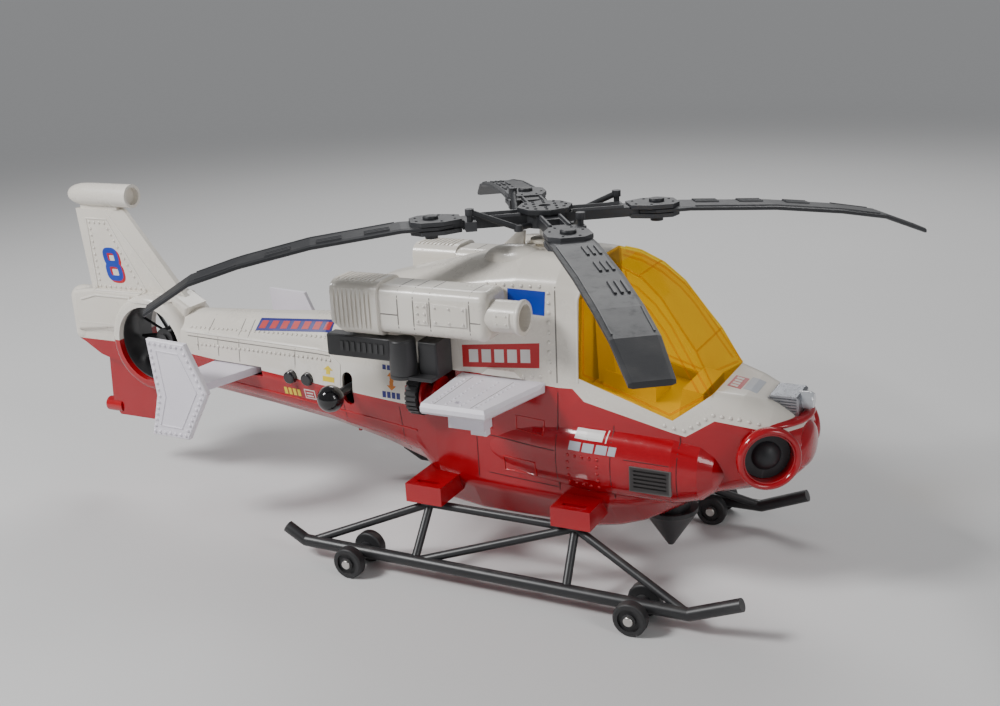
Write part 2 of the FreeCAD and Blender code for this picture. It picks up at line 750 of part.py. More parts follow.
def exhaust():
    """Port exhaust: a ribbed box at the back of the nacelle, open to the rear."""
    x1 = nacelle_rear_x
    x0 = x1 - exhaust_len
    outer = nacelle_block(x0, x1, exhaust_grow, nacelle_corner + 2)
    low = nacelle_low_z - 9
    chop = side_plate([(x0 - 1, low), (x0 + 16, low), (x0 - 1, low + 17)], 0, 120)
    outer = outer.cut(chop)
    port = box(x0 - 1, x1 - 12, nacelle_inner_y + exhaust_wall, nacelle_outer_y - exhaust_wall + 0.5,
               nacelle_low_z + exhaust_floor, nacelle_high_z - exhaust_wall)
    ribs = []
    for i in range(rib_count):
        x = x0 + 2.6 + i * (exhaust_len - 5.0) / rib_count
        ring = nacelle_block(x, x + 1.5, exhaust_grow + 1, nacelle_corner + 2)
        core = box(x - 1, x + 3, nacelle_inner_y - 1, nacelle_outer_y + exhaust_grow - rib_depth,
                   low, nacelle_high_z + exhaust_grow - rib_depth)
        ribs.append(ring.cut(core))
    return outer.cut(port).cut(group(ribs))


# ---- cockpit --------------------------------------------------------------------------------------
def cockpit_tub():
    """Floor, back wall, seat and console in one moulding, inside the glazing."""
    floor = side_plate([(140, 124), (204, 112), (222, 118), (222, 121), (203, 115.5), (142, 128)], -35, 35)
    back = side_plate([(136.5, 126), (139.5, 126), (143, 188), (140, 188)], -32, 32)
    pan = side_plate([(148, 124), (184, 117), (184, 131), (150, 137)], -15, 15)
    squab = side_plate([(145, 128), (157, 132), (152, 184), (143, 184)], -13, 13)
    console = side_plate([(201, 112), (217, 118), (217, 131), (204, 133)], -22, 22)
    return fuse([floor, back, pan, squab, console])


# ---- inside pieces --------------------------------------------------------------------------------
def mast_bushes():
    """Two flanged bushes that carry the rotor shaft: one in the roof, one in the beam."""
    bushes = []
    for z in (roof_z - wall - 3, shaft_low_z + 3):
        sleeve = rod(bush_r, V(rotor_x, 0, z), V(rotor_x, 0, z + 8))
        flange = rod(bush_flange_r, V(rotor_x, 0, z + 8), V(rotor_x, 0, z + 10))
        bore = rod(shaft_r + running_clearance, V(rotor_x, 0, z - 1), V(rotor_x, 0, z + 11))
        bushes.append(fuse([sleeve, flange]).cut(bore))
    return bushes


def mast_beam():
    """Cross beam between the cabin walls that holds the lower bush."""
    inner = cabin_half_w - wall + 0.6
    beam = box(rotor_x - 13, rotor_x + 13, -inner, inner, shaft_low_z + 4, shaft_low_z + 11)
    hole = rod(bush_r + running_clearance, V(rotor_x, 0, 120), V(rotor_x, 0, 180))
    return beam.cut(hole)


def battery_box():
    x0, x1 = battery_box_x
    half = battery_r * 2 + battery_gap + box_wall
    z0 = belly_z + wall
    z1 = z0 + 2 * battery_r + 2 * battery_gap + box_wall
    outer = box(x0, x1, -half, half, z0, z1)
    inner = box(x0 + box_wall, x1 - box_wall, -half + box_wall, half - box_wall, z0 - 1, z1 - box_wall)
    return outer.cut(inner)


def batteries():
    z = belly_z + wall + battery_gap * 0.5 + battery_r
    cells = []
    x0 = (battery_box_x[0] + battery_box_x[1] - battery_len) / 2
    for y in (-battery_r - battery_gap / 2, battery_r + battery_gap / 2):
        can = rod(battery_r, V(x0, y, z), V(x0 + battery_len - 1.2, y, z))
        tip = rod(2.6, V(x0 + battery_len - 1.2, y, z), V(x0 + battery_len, y, z))
        cells.append(fuse([can, tip]))
    return cells


def battery_cover():
    x0, x1, half = battery_cover_outline(cover_gap)
    lid = box(x0, x1, -half, half, belly_z, belly_z + cover_t)
    grip = [box(x0 + 4 + i * 2.4, x0 + 5.2 + i * 2.4, -8, 8, belly_z - 1, belly_z + 0.8) for i in range(4)]
    return lid.cut(group(grip))


def circuit_board():
    """Board behind the buttons, inside the boom."""
    x0 = button_x[0] - 12
    x1 = button_x[1] + 12
    board = box(x0, x1, -17.6, -16.0, button_z - 13, button_z + 13)
    chip = box(x0 + 12, x1 - 12, -16.0, -13.0, button_z - 6, button_z + 6)
    return fuse([board, chip])


def button_pad():
    """Soft pad on the board with a dome under each button."""
    base = box(button_x[0] - 8, button_x[1] + 8, -19.0, -17.6, button_z - 8, button_z + 8)
    domes = [rod(3.4, V(x, -21.0, button_z), V(x, -18.6, button_z)) for x in button_x]
    return fuse([base] + domes)


def button(x):
    """Push button: round cap through the side, with a flange that keeps it in."""
    cap_y = -(31.0 + button_proud)
    cap = rod(button_r, V(x, cap_y, button_z), V(x, -21.3 - button_travel, button_z))
    cap = cap.makeFillet(1.4, [e for e in cap.Edges if e.isClosed() and e.CenterOfMass.y < cap_y + 0.1])
    flange = rod(button_flange_r, V(x, -25.4, button_z), V(x, -23.9, button_z))
    return fuse([cap, flange])


def speaker():
    y0 = 38.0
    frame = rod(speaker_r, V(192.5, -y0 - 3, 81.2), V(192.5, -y0, 81.2))
    magnet = rod(speaker_r * 0.6, V(192.5, -y0, 81.2), V(192.5, -y0 + 5, 81.2))
    return fuse([frame, magnet])


def screw_places():
    """Head centres: one screw in each skid mount, and four through the belly."""
    places = [(x, side * (mount_reach - 14), mount_z - 0.9) for x in (strut_rear_x - 8, strut_front_x + 8)
              for side in SIDES.values()]
    return places + [(x, side * 12, belly_z - 0.9) for x in (50, 146) for side in SIDES.values()]


def screws():
    """Self-tapping screws that hold the mounts and the shell halves, all alike."""
    pieces = []
    for x, y, z in screw_places():
        head = rod(screw_r * 1.8, V(x, y, z), V(x, y, z + 1.6))
        shank = rod(screw_r, V(x, y, z + 1.6), V(x, y, z + screw_len))
        cross = box(x - 2.2, x + 2.2, y - 0.4, y + 0.4, z - 1, z + 0.9)
        pieces.append(fuse([head, shank]).cut(cross))
    return pieces


def screw_holes():
    """Counterbored holes that the screws sit in."""
    holes = []
    for x, y, z in screw_places():
        holes.append(rod(screw_r * 1.8 + 0.02, V(x, y, z - 1), V(x, y, z + 1.6)))
        holes.append(rod(screw_r + 0.01, V(x, y, z), V(x, y, z + screw_len + 0.5)))
    return group(holes)


# ---- undercarriage --------------------------------------------------------------------------------
def skid():
    """Port skid: ground tube with turned-up ends, struts, rail and diagonals."""
    y, z = half_track, skid_tube_z
    rear_bend = rear_axle_x - skid_rear_bend
    front_bend = front_axle_x + skid_front_bend
    spine = [
        V(rear_axle_x - skid_rear_reach, y, z + skid_rear_rise), V(rear_bend, y, z),
        V(front_bend, y, z), V(front_axle_x + skid_front_reach, y, z + skid_front_rise),
    ]
    bars = [rod(skid_tube_r, a, b) for a, b in zip(spine, spine[1:])]
    bars += [Part.makeSphere(skid_tube_r, p) for p in spine[1:-1]]
    rear_top = V(strut_rear_x, rail_y, rail_z)
    front_top = V(strut_front_x, rail_y, rail_z)
    rear_foot = V(strut_rear_x, y, z)
    front_foot = V(strut_front_x + 3, y, z)
    braces = [
        (rear_top, rear_foot), (front_top, front_foot), (rear_top, front_top), (rear_foot, front_top),
        (V(rear_bend + 4, y, z), rear_top), (front_top, V(front_bend, y, z)),
    ]
    bars += [rod(brace_r, a, b) for a, b in braces]
    bars += [Part.makeSphere(brace_r, p) for p in (rear_top, front_top)]
    for top in (rear_top, front_top):
        bars.append(rod(brace_r, top, V(top.x, top.y, mount_z)))
        bars.append(rod(6.0, V(top.x, top.y, mount_z - 2.5), V(top.x, top.y, mount_z)))
    for x in (rear_axle_x, front_axle_x):
        bars.append(rod(skid_boss_r, V(x, y - skid_boss_w / 2, wheel_r), V(x, y + skid_boss_w / 2, wheel_r)))
    body = bars[0]
    for bar in bars[1:]:
        body = body.fuse(bar)
    holes = [rod(axle_r + running_clearance, V(x, y - 20, wheel_r), V(x, y + 20, wheel_r))
             for x in (rear_axle_x, front_axle_x)]
    return body.cut(group(holes))


def wheel(x, side, outer):
    """One small wheel with a recessed face."""
    sign = 1 if outer else -1
    y0 = half_track + sign * wheel_in
    y1 = half_track + sign * wheel_out
    disc = rod(wheel_r, V(x, y0, wheel_r), V(x, y1, wheel_r))
    disc = disc.makeFillet(1.5, [e for e in disc.Edges if e.isClosed()])
    dish = rod(wheel_r * 0.68, V(x, y1 - sign * 1.4, wheel_r), V(x, y1 + sign, wheel_r))
    hub = rod(axle_cap_r + 1.2, V(x, y1 - sign * 2, wheel_r), V(x, y1, wheel_r))
    bore = rod(axle_r, V(x, y0 - sign, wheel_r), V(x, y1 + sign * 2, wheel_r))
    return on_side(fuse([disc.cut(dish), hub]).cut(bore), side)


def axle(x, side):
    """Steel axle with a push-on cap at each end."""
    reach = wheel_out + 1.2
    pin = rod(axle_r, V(x, half_track - reach, wheel_r), V(x, half_track + reach, wheel_r))
    caps = []
    for sign in (-1, 1):
        face = half_track + sign * wheel_out
        cap = rod(axle_cap_r, V(x, face, wheel_r), V(x, face + sign * axle_cap_t, wheel_r))
        caps.append(cap.makeFillet(0.7, [e for e in cap.Edges if e.isClosed()
                                         and abs(e.CenterOfMass.y - face - sign * axle_cap_t) < 0.01]))
    return on_side(fuse([pin] + caps), side)


# ---- rotor ----------------------------------------------------------------------------------------
def turned(shape, degrees):
    """A rotor piece drawn along +X from the shaft, turned to its place."""
    copy = shape.copy()
    copy.rotate(V(0, 0, 0), Z_AXIS, degrees)
    return copy.translated(V(rotor_x, 0, rotor_z))


def blade_angles():
    return [blade_first_deg + i * 360.0 / blade_count for i in range(blade_count)]


def blade(droop):
    """One drooping blade with a kinked tip, drawn from the shaft along +X; heights from the hub plane."""
    w = blade_half_w
    rows = [
        (blade_root_at, 0.0, 8.5), (70, 0.0, w), (93, 0.0, w), (150, -4.0, w), (195, -10.0, w - 0.4),
        (226, -16.0, w - 1.0), (rotor_r, -28.0, w - 2.4),
    ]
    wires = []
    for reach, drop, half in rows:
        z = drop * droop
        edge = blade_t * 0.28
        flat = half - blade_bevel
        over = [(half, edge), (flat, blade_t / 2), (-flat, blade_t / 2), (-half, edge)]
        under = [(y, -rise) for y, rise in reversed(over)]
        corners = [V(reach, y, z + rise) for y, rise in over + under]
        wires.append(Part.makePolygon(corners + corners[:1]))
    body = Part.makeLoft(wires, True, True)
    hole = rod(blade_pin_r, V(blade_pin_at, 0, -9), V(blade_pin_at, 0, 9))
    return body.cut(hole)


def hub_boss():
    return Part.makeCylinder(hub_r, hub_t, V(0, 0, -5), Z_AXIS)


def rotor_hub():
    """Central boss with four slotted arms and a riveted top plate."""
    parts = [hub_boss()]
    plate = Part.makePolygon([V(18 * math.cos(math.radians(a)), 18 * math.sin(math.radians(a)), 4)
                              for a in range(0, 405, 45)])
    parts.append(Part.Face(plate).extrude(V(0, 0, 3.2)))
    for i in range(blade_count):
        arm = box(8, 54, -arm_half_w, arm_half_w, -arm_t / 2, arm_t / 2)
        window = box(26, 44, -arm_half_w + 3.2, arm_half_w - 3.2, -9, 9)
        half_t = blade_t / 2 - 0.05
        tongue = box(53, blade_root_at - 0.2, -arm_half_w, arm_half_w, -half_t, half_t)
        ear = box(link_at - 4, link_at + 3, arm_half_w - 1, link_off + 3, -arm_t / 2, arm_t / 2)
        piece = arm.cut(window).fuse(tongue).fuse(ear)
        piece.rotate(V(0, 0, 0), Z_AXIS, i * 360.0 / blade_count)
        parts.append(piece)
    bore = Part.makeCylinder(shaft_r, 30, V(0, 0, -20), Z_AXIS)
    return turned(fuse(parts).cut(bore), blade_first_deg)


def clamp_outline():
    """Long hexagon with a blunt outer end, tapering in towards the hub arm."""
    half = [(0.95, 0.5), (0.5, 0.97), (-0.5, 0.97), (-1.35, 0.57)]
    corners = half + [(x, -y) for x, y in reversed(half)]
    return [(clamp_r * x, clamp_r * y) for x, y in corners]


def blade_clamps():
    """Hexagonal plates above and below each blade root, bridging back onto the hub arm."""
    plates = []
    for angle in blade_angles():
        for z in (blade_t / 2, -blade_t / 2 - clamp_t):
            plate = plan_plate(clamp_outline(), z, z + clamp_t).translated(V(blade_pin_at, 0, 0))
            plate = plate.cut(rod(blade_pin_r, V(blade_pin_at, 0, -9), V(blade_pin_at, 0, 9)))
            plates.append(turned(plate, angle))
    return plates


def blade_pins():
    """Button-headed pin through each blade root, with a collar under it."""
    pins = []
    for angle in blade_angles():
        top = blade_t / 2 + clamp_t
        pin = rod(blade_pin_r, V(blade_pin_at, 0, -top - 4), V(blade_pin_at, 0, top + 1))
        head = rod(blade_pin_r * 1.9, V(blade_pin_at, 0, top), V(blade_pin_at, 0, top + 2.2))
        head = head.makeFillet(1.2, [e for e in head.Edges if e.isClosed() and e.CenterOfMass.z > top + 2])
        collar = rod(blade_pin_r * 1.6, V(blade_pin_at, 0, -top - 4), V(blade_pin_at, 0, -top))
        pins.append(turned(fuse([pin, head, collar]), angle))
    return pins


def pitch_links():
    """Eye-ended rods from the hub corners up to the arms."""
    links = []
    for angle in blade_angles():
        low = V(20, 15.5, -3)
        high = V(link_at, link_off, 9)
        post = rod(link_r, V(link_at, link_off, arm_t / 2), high)
        bar = rod(link_r, low, high)
        ends = [rod(link_r * 1.5, p - V(0, 0, 2), p + V(0, 0, 2)) for p in (low, high)]
        inward = hub_r / math.hypot(low.x, low.y) + 0.002
        foot = rod(link_r, V(low.x * inward, low.y * inward, low.z), low).cut(hub_boss())
        links.append(turned(fuse([bar, post, foot] + ends), angle))
    return links


def rotor_shaft():
    shaft = rod(shaft_r, V(rotor_x, 0, shaft_low_z), V(rotor_x, 0, rotor_z + 4))
    clip = rod(shaft_r + 2.2, V(rotor_x, 0, shaft_low_z + 0.5), V(rotor_x, 0, shaft_low_z + 2.3))
    return fuse([shaft, clip])


def ratchet_wheel():
    """Saw-toothed wheel on the shaft that the lever's drive kicks round."""
    corners = []
    for i in range(ratchet_teeth):
        a = math.radians(360.0 / ratchet_teeth * i)
        b = a + math.radians(360.0 / ratchet_teeth * 0.9)
        corners.append((ratchet_r * math.cos(a), ratchet_r * math.sin(a)))
        corners.append(((ratchet_r - 3) * math.cos(b), (ratchet_r - 3) * math.sin(b)))
    z0 = shaft_low_z + 16
    wheel_body = plan_plate(corners, z0, z0 + 5).translated(V(rotor_x, 0, 0))
    bore = rod(shaft_r, V(rotor_x, 0, z0 - 1), V(rotor_x, 0, z0 + 6))
    return wheel_body.cut(bore)


# ---- controls and winch ---------------------------------------------------------------------------
def drive_lever():
    """Rod with a cross pin inside the boom; its outer end carries the ball knob."""
    pivot = V(lever_x, -lever_pivot_y, lever_z)
    arm = rod(lever_r, pivot, V(lever_x, -knob_y + knob_r * 0.5, lever_z))
    reach = V(10, 0, 0)
    cross = rod(lever_pin_r, pivot - reach, pivot + reach)
    eye = rod(5.0, V(lever_x - 4, -lever_pivot_y, lever_z), V(lever_x + 4, -lever_pivot_y, lever_z))
    return fuse([arm, cross, eye])


def lever_knob():
    ball = Part.makeSphere(knob_r, V(lever_x, -knob_y, lever_z))
    socket = rod(lever_r, V(lever_x, -knob_y + knob_r * 0.5, lever_z), V(lever_x, 0, lever_z))
    return ball.cut(socket)


def winch_bracket():
    """Black housing on the cabin side: base plate under the arm, and the upright pin that it turns on."""
    y_wall = -(cabin_half_w + 0.4)
    px, py = winch_pivot_x, -winch_pivot_y
    block = box(px + winch_boss_r + 1.0, px + 24, py + 2, y_wall, winch_low_z - 2, winch_top_z - 2)
    block = block.makeFillet(1.5, [e for e in block.Edges if e.CenterOfMass.y < py + 2.1])
    foot = box(px - 6, px + 24, py - 6, y_wall, winch_low_z - 2.6, winch_low_z - 0.3)
    disc = rod(winch_boss_r, V(px, py, winch_low_z - 2.6), V(px, py, winch_low_z - 0.3))
    pin = rod(winch_pin_r, V(px, py, winch_low_z - 2), V(px, py, winch_top_z - 2))
    return fuse([block, foot, disc, pin])


def winch_arm():
    """Long box arm that swings on an upright boss; it is stowed pointing to the tail."""
    px, py = winch_pivot_x, -winch_pivot_y
    boss = rod(winch_boss_r, V(px, py, winch_low_z), V(px, py, winch_top_z))
    top_edge = [e for e in boss.Edges if e.isClosed() and e.CenterOfMass.z > winch_top_z - 1]
    boss = boss.makeFillet(1.5, top_edge)
    half = winch_arm_w / 2
    beam = box(px - winch_arm_len, px, py - half, py + half, winch_arm_low_z, winch_top_z)
    beam = beam.makeFillet(1.2, [e for e in beam.Edges if abs(e.CenterOfMass.x - px) > 1])
    face = py - half
    teeth = [box(px - 44 + i * 4.4, px - 41.6 + i * 4.4, face - 0.6, face + 0.4, winch_arm_low_z + 4.5,
                 winch_top_z - 4) for i in range(8)]
    bore = rod(winch_pin_r + running_clearance, V(px, py, winch_low_z - 1), V(px, py, winch_top_z - 1.9))
    return fuse([boss, beam] + teeth).cut(bore)


def thumbwheel():
    """Ribbed wheel that raises and lowers the winch."""
    x0 = thumb_x - thumb_w / 2
    disc = rod(thumb_r, V(x0, -thumb_y, thumb_z), V(x0 + thumb_w, -thumb_y, thumb_z))
    notches = []
    for i in range(thumb_ribs):
        notch = box(x0 - 1, x0 + thumb_w + 1, -0.7, 0.7, thumb_r - 1.2, thumb_r + 1)
        notch.rotate(V(0, 0, 0), X_AXIS, i * 360.0 / thumb_ribs)
        notches.append(notch.translated(V(0, -thumb_y, thumb_z)))
    bore = rod(drum_axle_r, V(x0 - 1, -thumb_y, thumb_z), V(x0 + thumb_w + 1, -thumb_y, thumb_z))
    return disc.cut(group(notches)).cut(bore)


def winch_spool():
    """Flanged drum beside the thumbwheel."""
    x0 = thumb_x + thumb_w / 2 + 1.5
    x1 = x0 + spool_w
    core = rod(spool_r * 0.5, V(x0, -thumb_y, thumb_z), V(x1, -thumb_y, thumb_z))
    flanges = [rod(spool_r, V(x, -thumb_y, thumb_z), V(x + 1.6, -thumb_y, thumb_z)) for x in (x0, x1 - 1.6)]
    bore = rod(drum_axle_r, V(x0 - 1, -thumb_y, thumb_z), V(x1 + 1, -thumb_y, thumb_z))
    return fuse([core] + flanges).cut(bore)


def winch_axle():
    return rod(drum_axle_r, V(bay_x[0] - wall, -thumb_y, thumb_z), V(bay_x[1] + wall, -thumb_y, thumb_z))


# ---- all pieces -----------------------------------------------------------------------------------
def build():
    outer = fuselage_body(0)
    upper, lower, glazing = shells(outer)
    slot = stabiliser_slot().common(box(-200, -100, -60, 60, 0, 200))
    nodes = {
        "upper_shell": upper_shell(upper).cut(slot),
        "lower_shell": lower_shell(lower).cut(slot).cut(screw_holes()),
        "canopy": glazing,
        "cockpit_tub": cockpit_tub(),
        "tail_pod": tail_pod(),
        "tail_fan_bracket": tail_fan_bracket(),
        "tail_fan": tail_fan(),
        "nose_searchlight": searchlight().cut(outer),
        "searchlight_lens": searchlight_lens(),
        "belly_cone": belly_cone().cut(outer),
        "mast_bushes": group(mast_bushes()),
        "mast_beam": mast_beam(),
        "battery_box": battery_box(),
        "battery_cover": battery_cover(),
        "batteries": group(batteries()),
        "circuit_board": circuit_board(),
        "button_pad": button_pad(),
        "speaker": speaker(),
        "screws": group(screws()),
        "rotor_shaft": rotor_shaft(),
        "rotor_hub": rotor_hub(),
        "ratchet_wheel": ratchet_wheel(),
        "blade_clamps": group(blade_clamps()),
        "blade_pins": group(blade_pins()),
        "pitch_links": group(pitch_links()),
        "drive_lever": drive_lever(),
        "lever_knob": lever_knob(),
        "winch_bracket": winch_bracket(),
        "winch_arm": winch_arm(),
        "thumbwheel": thumbwheel(),
        "winch_spool": winch_spool(),
        "winch_axle": winch_axle(),
        "button_rear": button(button_x[0]),
        "button_front": button(button_x[1]),
    }
    for i, angle in enumerate(blade_angles()):
        nodes[f"blade_{i + 1}"] = turned(blade(blade_droop[i]), angle)
    for name, side in SIDES.items():
        nodes[f"stabiliser_{name}"] = on_side(stabiliser(), side)
        nodes[f"stub_wing_{name}"] = on_side(stub_wing().cut(outer), side)
        nodes[f"nacelle_{name}"] = on_side(nacelle().cut(outer), side)
        nodes[f"exhaust_{name}"] = on_side(exhaust().cut(outer), side)
        nodes[f"headlight_{name}"] = on_side(lamp_lens(), side)
        nodes[f"side_grille_{name}"] = on_side(side_grille(), side)
        nodes[f"skid_{name}"] = on_side(skid(), side)
        for end, x in (("rear", rear_axle_x), ("front", front_axle_x)):
            nodes[f"axle_{end}_{name}"] = axle(x, side)
            nodes[f"wheels_{end}_{name}"] = group([wheel(x, side, True), wheel(x, side, False)])
    return nodes


def main():
    os.makedirs("parts", exist_ok=True)
    for name, shape in sorted(build().items()):
        shape.exportStep(os.path.join("parts", f"{name}.step"))
        print(f"{name:22s} solids {len(shape.Solids)}  valid {shape.isValid()}  volume {shape.Volume:10.1f}")


main()
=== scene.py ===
# %% [markdown]
# # A toy rescue helicopter, finished around its working frame
# The frame brings every moulded part, shaft and wheel at its real size and place. This notebook gives
# each of them its finish, and adds the small moulded detail that a toy's surface carries: rivets, panel
# lines, raised plates, labels and canopy ribs. A detail could be cut into each part's mesh, but a part
# that other tools also use must stay as it is, so each detail is a thin piece that lies on the surface
# below it and rides on the same body.

import math

import bmesh
import bpy
from mathutils import Matrix, Vector
from mathutils.bvhtree import BVHTree


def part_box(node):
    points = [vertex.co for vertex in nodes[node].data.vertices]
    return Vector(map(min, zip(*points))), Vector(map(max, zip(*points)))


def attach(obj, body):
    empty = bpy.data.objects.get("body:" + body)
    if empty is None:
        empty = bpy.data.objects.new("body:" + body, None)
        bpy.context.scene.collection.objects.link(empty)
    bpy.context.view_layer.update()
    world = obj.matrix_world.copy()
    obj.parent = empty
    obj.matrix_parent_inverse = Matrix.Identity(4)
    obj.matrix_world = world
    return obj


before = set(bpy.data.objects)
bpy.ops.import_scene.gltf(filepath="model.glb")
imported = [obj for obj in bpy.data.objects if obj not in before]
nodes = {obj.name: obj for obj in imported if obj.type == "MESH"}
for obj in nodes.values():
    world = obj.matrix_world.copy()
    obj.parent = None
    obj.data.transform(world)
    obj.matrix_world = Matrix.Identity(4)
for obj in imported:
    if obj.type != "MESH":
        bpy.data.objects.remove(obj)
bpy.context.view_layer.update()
MM = 0.001
STARBOARD, PORT = -1, 1
SIDES = {"right": STARBOARD, "left": PORT}


# %% [markdown]
# ## Shader arithmetic
# A finish is easier to read as a sum than as a list of links. This class wraps one socket, so that
# `1 - mask` or `rough + 0.1 * grain` adds the Math nodes it needs. Colours never pass through it,
# because a Math node would turn them grey.

# %% Sockets as numbers
class Number:
    """A shader socket that takes part in ordinary arithmetic."""

    def __init__(self, tree, socket):
        self.tree = tree
        self.socket = socket

    def join(self, operation, first, second):
        node = self.tree.nodes.new("ShaderNodeMath")
        node.operation = operation
        for slot, value in zip(node.inputs, (first, second)):
            if isinstance(value, Number):
                self.tree.links.new(value.socket, slot)
            else:
                slot.default_value = value
        return Number(self.tree, node.outputs[0])

    def __add__(self, other):
        return self.join("ADD", self, other)

    def __radd__(self, other):
        return self.join("ADD", other, self)

    def __sub__(self, other):
        return self.join("SUBTRACT", self, other)

    def __rsub__(self, other):
        return self.join("SUBTRACT", other, self)

    def __mul__(self, other):
        return self.join("MULTIPLY", self, other)

    def __rmul__(self, other):
        return self.join("MULTIPLY", other, self)


print("sums and products of sockets add their own Math nodes")


# %% [markdown]
# ## One bench for every finish
# All finishes share the same few tools: a noise, a ramp, a mix of two colours and a bump. Copying node
# code for each finish would hide what differs, so one small class adds any node from its type, its
# settings and its sockets, and the recipes below stay short.

# %% Finish bench
class Finish:
    """Builds one material, node by node."""

    def __init__(self, name):
        self.material = bpy.data.materials.new(name)
        self.material.use_nodes = True
        self.tree = self.material.node_tree
        self.shader = self.tree.nodes["Principled BSDF"]

    def add(self, kind, settings=None, sockets=None):
        node = self.tree.nodes.new(kind)
        for key, value in (settings or {}).items():
            setattr(node, key, value)
        for key, value in (sockets or {}).items():
            self.feed(node.inputs[key], value)
        return node

    def feed(self, slot, value):
        if isinstance(value, Number):
            value = value.socket
        if isinstance(value, bpy.types.NodeSocket):
            self.tree.links.new(value, slot)
        else:
            slot.default_value = value

    def number(self, node, output=0):
        return Number(self.tree, node.outputs[output])

    def place(self):
        return self.add("ShaderNodeTexCoord").outputs["Object"]

    def noise(self, scale, detail=3.0, roughness=0.55):
        node = self.add("ShaderNodeTexNoise", {}, {"Vector": self.place(), "Scale": scale, "Detail": detail,
                                                   "Roughness": roughness})
        return self.number(node, "Fac")

    def ramp(self, value, low, high):
        node = self.add("ShaderNodeMapRange", {"interpolation_type": "SMOOTHSTEP"},
                        {"Value": value, "From Min": low, "From Max": high})
        return self.number(node)

    def mix(self, factor, first, second):
        node = self.add("ShaderNodeMix", {"data_type": "RGBA"})
        self.feed(node.inputs[0], factor)
        self.feed(node.inputs[6], first)
        self.feed(node.inputs[7], second)
        return node.outputs[2]

    def edges(self, low, high):
        """1 on outer edges and corners, 0 on flat and hollow ground."""
        return self.ramp(self.number(self.add("ShaderNodeNewGeometry"), "Pointiness"), low, high)

    def bump(self, height, distance, strength=1.0):
        node = self.add("ShaderNodeBump", {}, {"Height": height, "Distance": distance, "Strength": strength})
        return node.outputs["Normal"]

    def set(self, **sockets):
        for key, value in sockets.items():
            self.feed(self.shader.inputs[key.replace("_", " ")], value)
        return self.material


def rgb(red, green, blue):
    return (red, green, blue, 1.0)


def shade(colour, share):
    """The same colour, darker or lighter."""
    return [share * part for part in colour]


BLACK = rgb(0.0, 0.0, 0.0)
print("a bench of", len([tool for tool in vars(Finish) if not tool.startswith("_")]), "tools")


# %% [markdown]
# ## Moulded plastic
# Most of the toy is injection-moulded styrene. Real plastic isn't one colour: it is a little cloudy,
# handling polishes some patches and scuffs others, dust settles on top, and corners rub pale. A paint
# texture could show this, but it would need unwrapping; noise in the object's own space needs none and
# keeps its scale in millimetres.

# %% Plastic recipe
def moulded(name, colour, deep, gloss, grain=0.05, cloud=0.35, rub=None, coat=0.0, dust=0.0):
    """Moulded plastic: clouding between two colours, uneven gloss, fine grain and rubbed corners."""
    f = Finish(name)
    cloudy = f.ramp(f.noise(28.0, 4.0), 0.35, 0.7) * cloud
    tint = f.mix(cloudy, rgb(*colour), rgb(*deep))
    specks = f.ramp(f.noise(900.0, 2.0), 0.68, 0.78) * 0.25
    tint = f.mix(specks, tint, rgb(*shade(colour, 0.72)))
    if rub:
        tint = f.mix(f.edges(0.53, 0.62) * 0.6, tint, rgb(*rub))
    if dust:
        facing = f.add("ShaderNodeSeparateXYZ", {}, {0: f.add("ShaderNodeNewGeometry").outputs["Normal"]})
        settled = f.ramp(f.number(facing, 2), 0.4, 1.0) * f.ramp(f.noise(55.0, 5.0), 0.42, 0.75) * dust
        tint = f.mix(settled, tint, rgb(0.45, 0.43, 0.40))
    scuffs = f.ramp(f.noise(140.0, 6.0, 0.75), 0.5, 0.72)
    rough = gloss + 0.10 * scuffs + 0.05 * f.noise(18.0)
    height = f.noise(1600.0, 2.0) * grain + f.noise(120.0, 2.0) * 0.12
    f.set(Base_Color=tint, Roughness=rough, Normal=f.bump(height, 0.00012))
    f.shader.inputs["Coat Weight"].default_value = coat
    f.shader.inputs["Coat Roughness"].default_value = 0.08
    f.shader.inputs["IOR"].default_value = 1.5
    return f.material


white = moulded("warm_white_plastic", (0.74, 0.70, 0.63), (0.67, 0.62, 0.54), 0.25,
                rub=(0.82, 0.79, 0.74), coat=0.15, dust=0.12)
red = moulded("red_plastic", (0.36, 0.001, 0.008), (0.29, 0.001, 0.006), 0.14, grain=0.02,
              rub=(0.50, 0.01, 0.015), coat=0.35, dust=0.02)
pale = moulded("lilac_white_plastic", (0.74, 0.70, 0.78), (0.68, 0.64, 0.73), 0.36, grain=0.12,
               rub=(0.84, 0.82, 0.87), dust=0.08)
blade_black = moulded("blade_black", (0.015, 0.016, 0.019), (0.009, 0.010, 0.012), 0.46, grain=0.35,
                      rub=(0.050, 0.051, 0.056), dust=0.04)
skid_black = moulded("skid_black", (0.022, 0.022, 0.024), (0.014, 0.014, 0.015), 0.36, grain=0.16,
                     rub=(0.06, 0.06, 0.062), dust=0.08)
gloss_black = moulded("gloss_black", (0.010, 0.010, 0.012), (0.007, 0.007, 0.009), 0.09, grain=0.01,
                      coat=0.5)
wheel_black = moulded("wheel_black", (0.020, 0.020, 0.022), (0.030, 0.029, 0.028), 0.48, grain=0.25,
                      rub=(0.07, 0.07, 0.07), dust=0.15)
grille_dark = moulded("grille_dark", (0.030, 0.026, 0.026), (0.018, 0.015, 0.015), 0.30, grain=0.10,
                      rub=(0.30, 0.28, 0.27))
inner_cream = moulded("cockpit_cream", (0.80, 0.74, 0.62), (0.70, 0.64, 0.52), 0.40, grain=0.10)
seam_grey = moulded("seam_shadow", (0.20, 0.185, 0.17), (0.13, 0.12, 0.11), 0.6, cloud=0.6)
seam_red = moulded("seam_red_shadow", (0.10, 0.002, 0.004), (0.06, 0.001, 0.003), 0.5, cloud=0.6)
print("plastics:", len(bpy.data.materials))


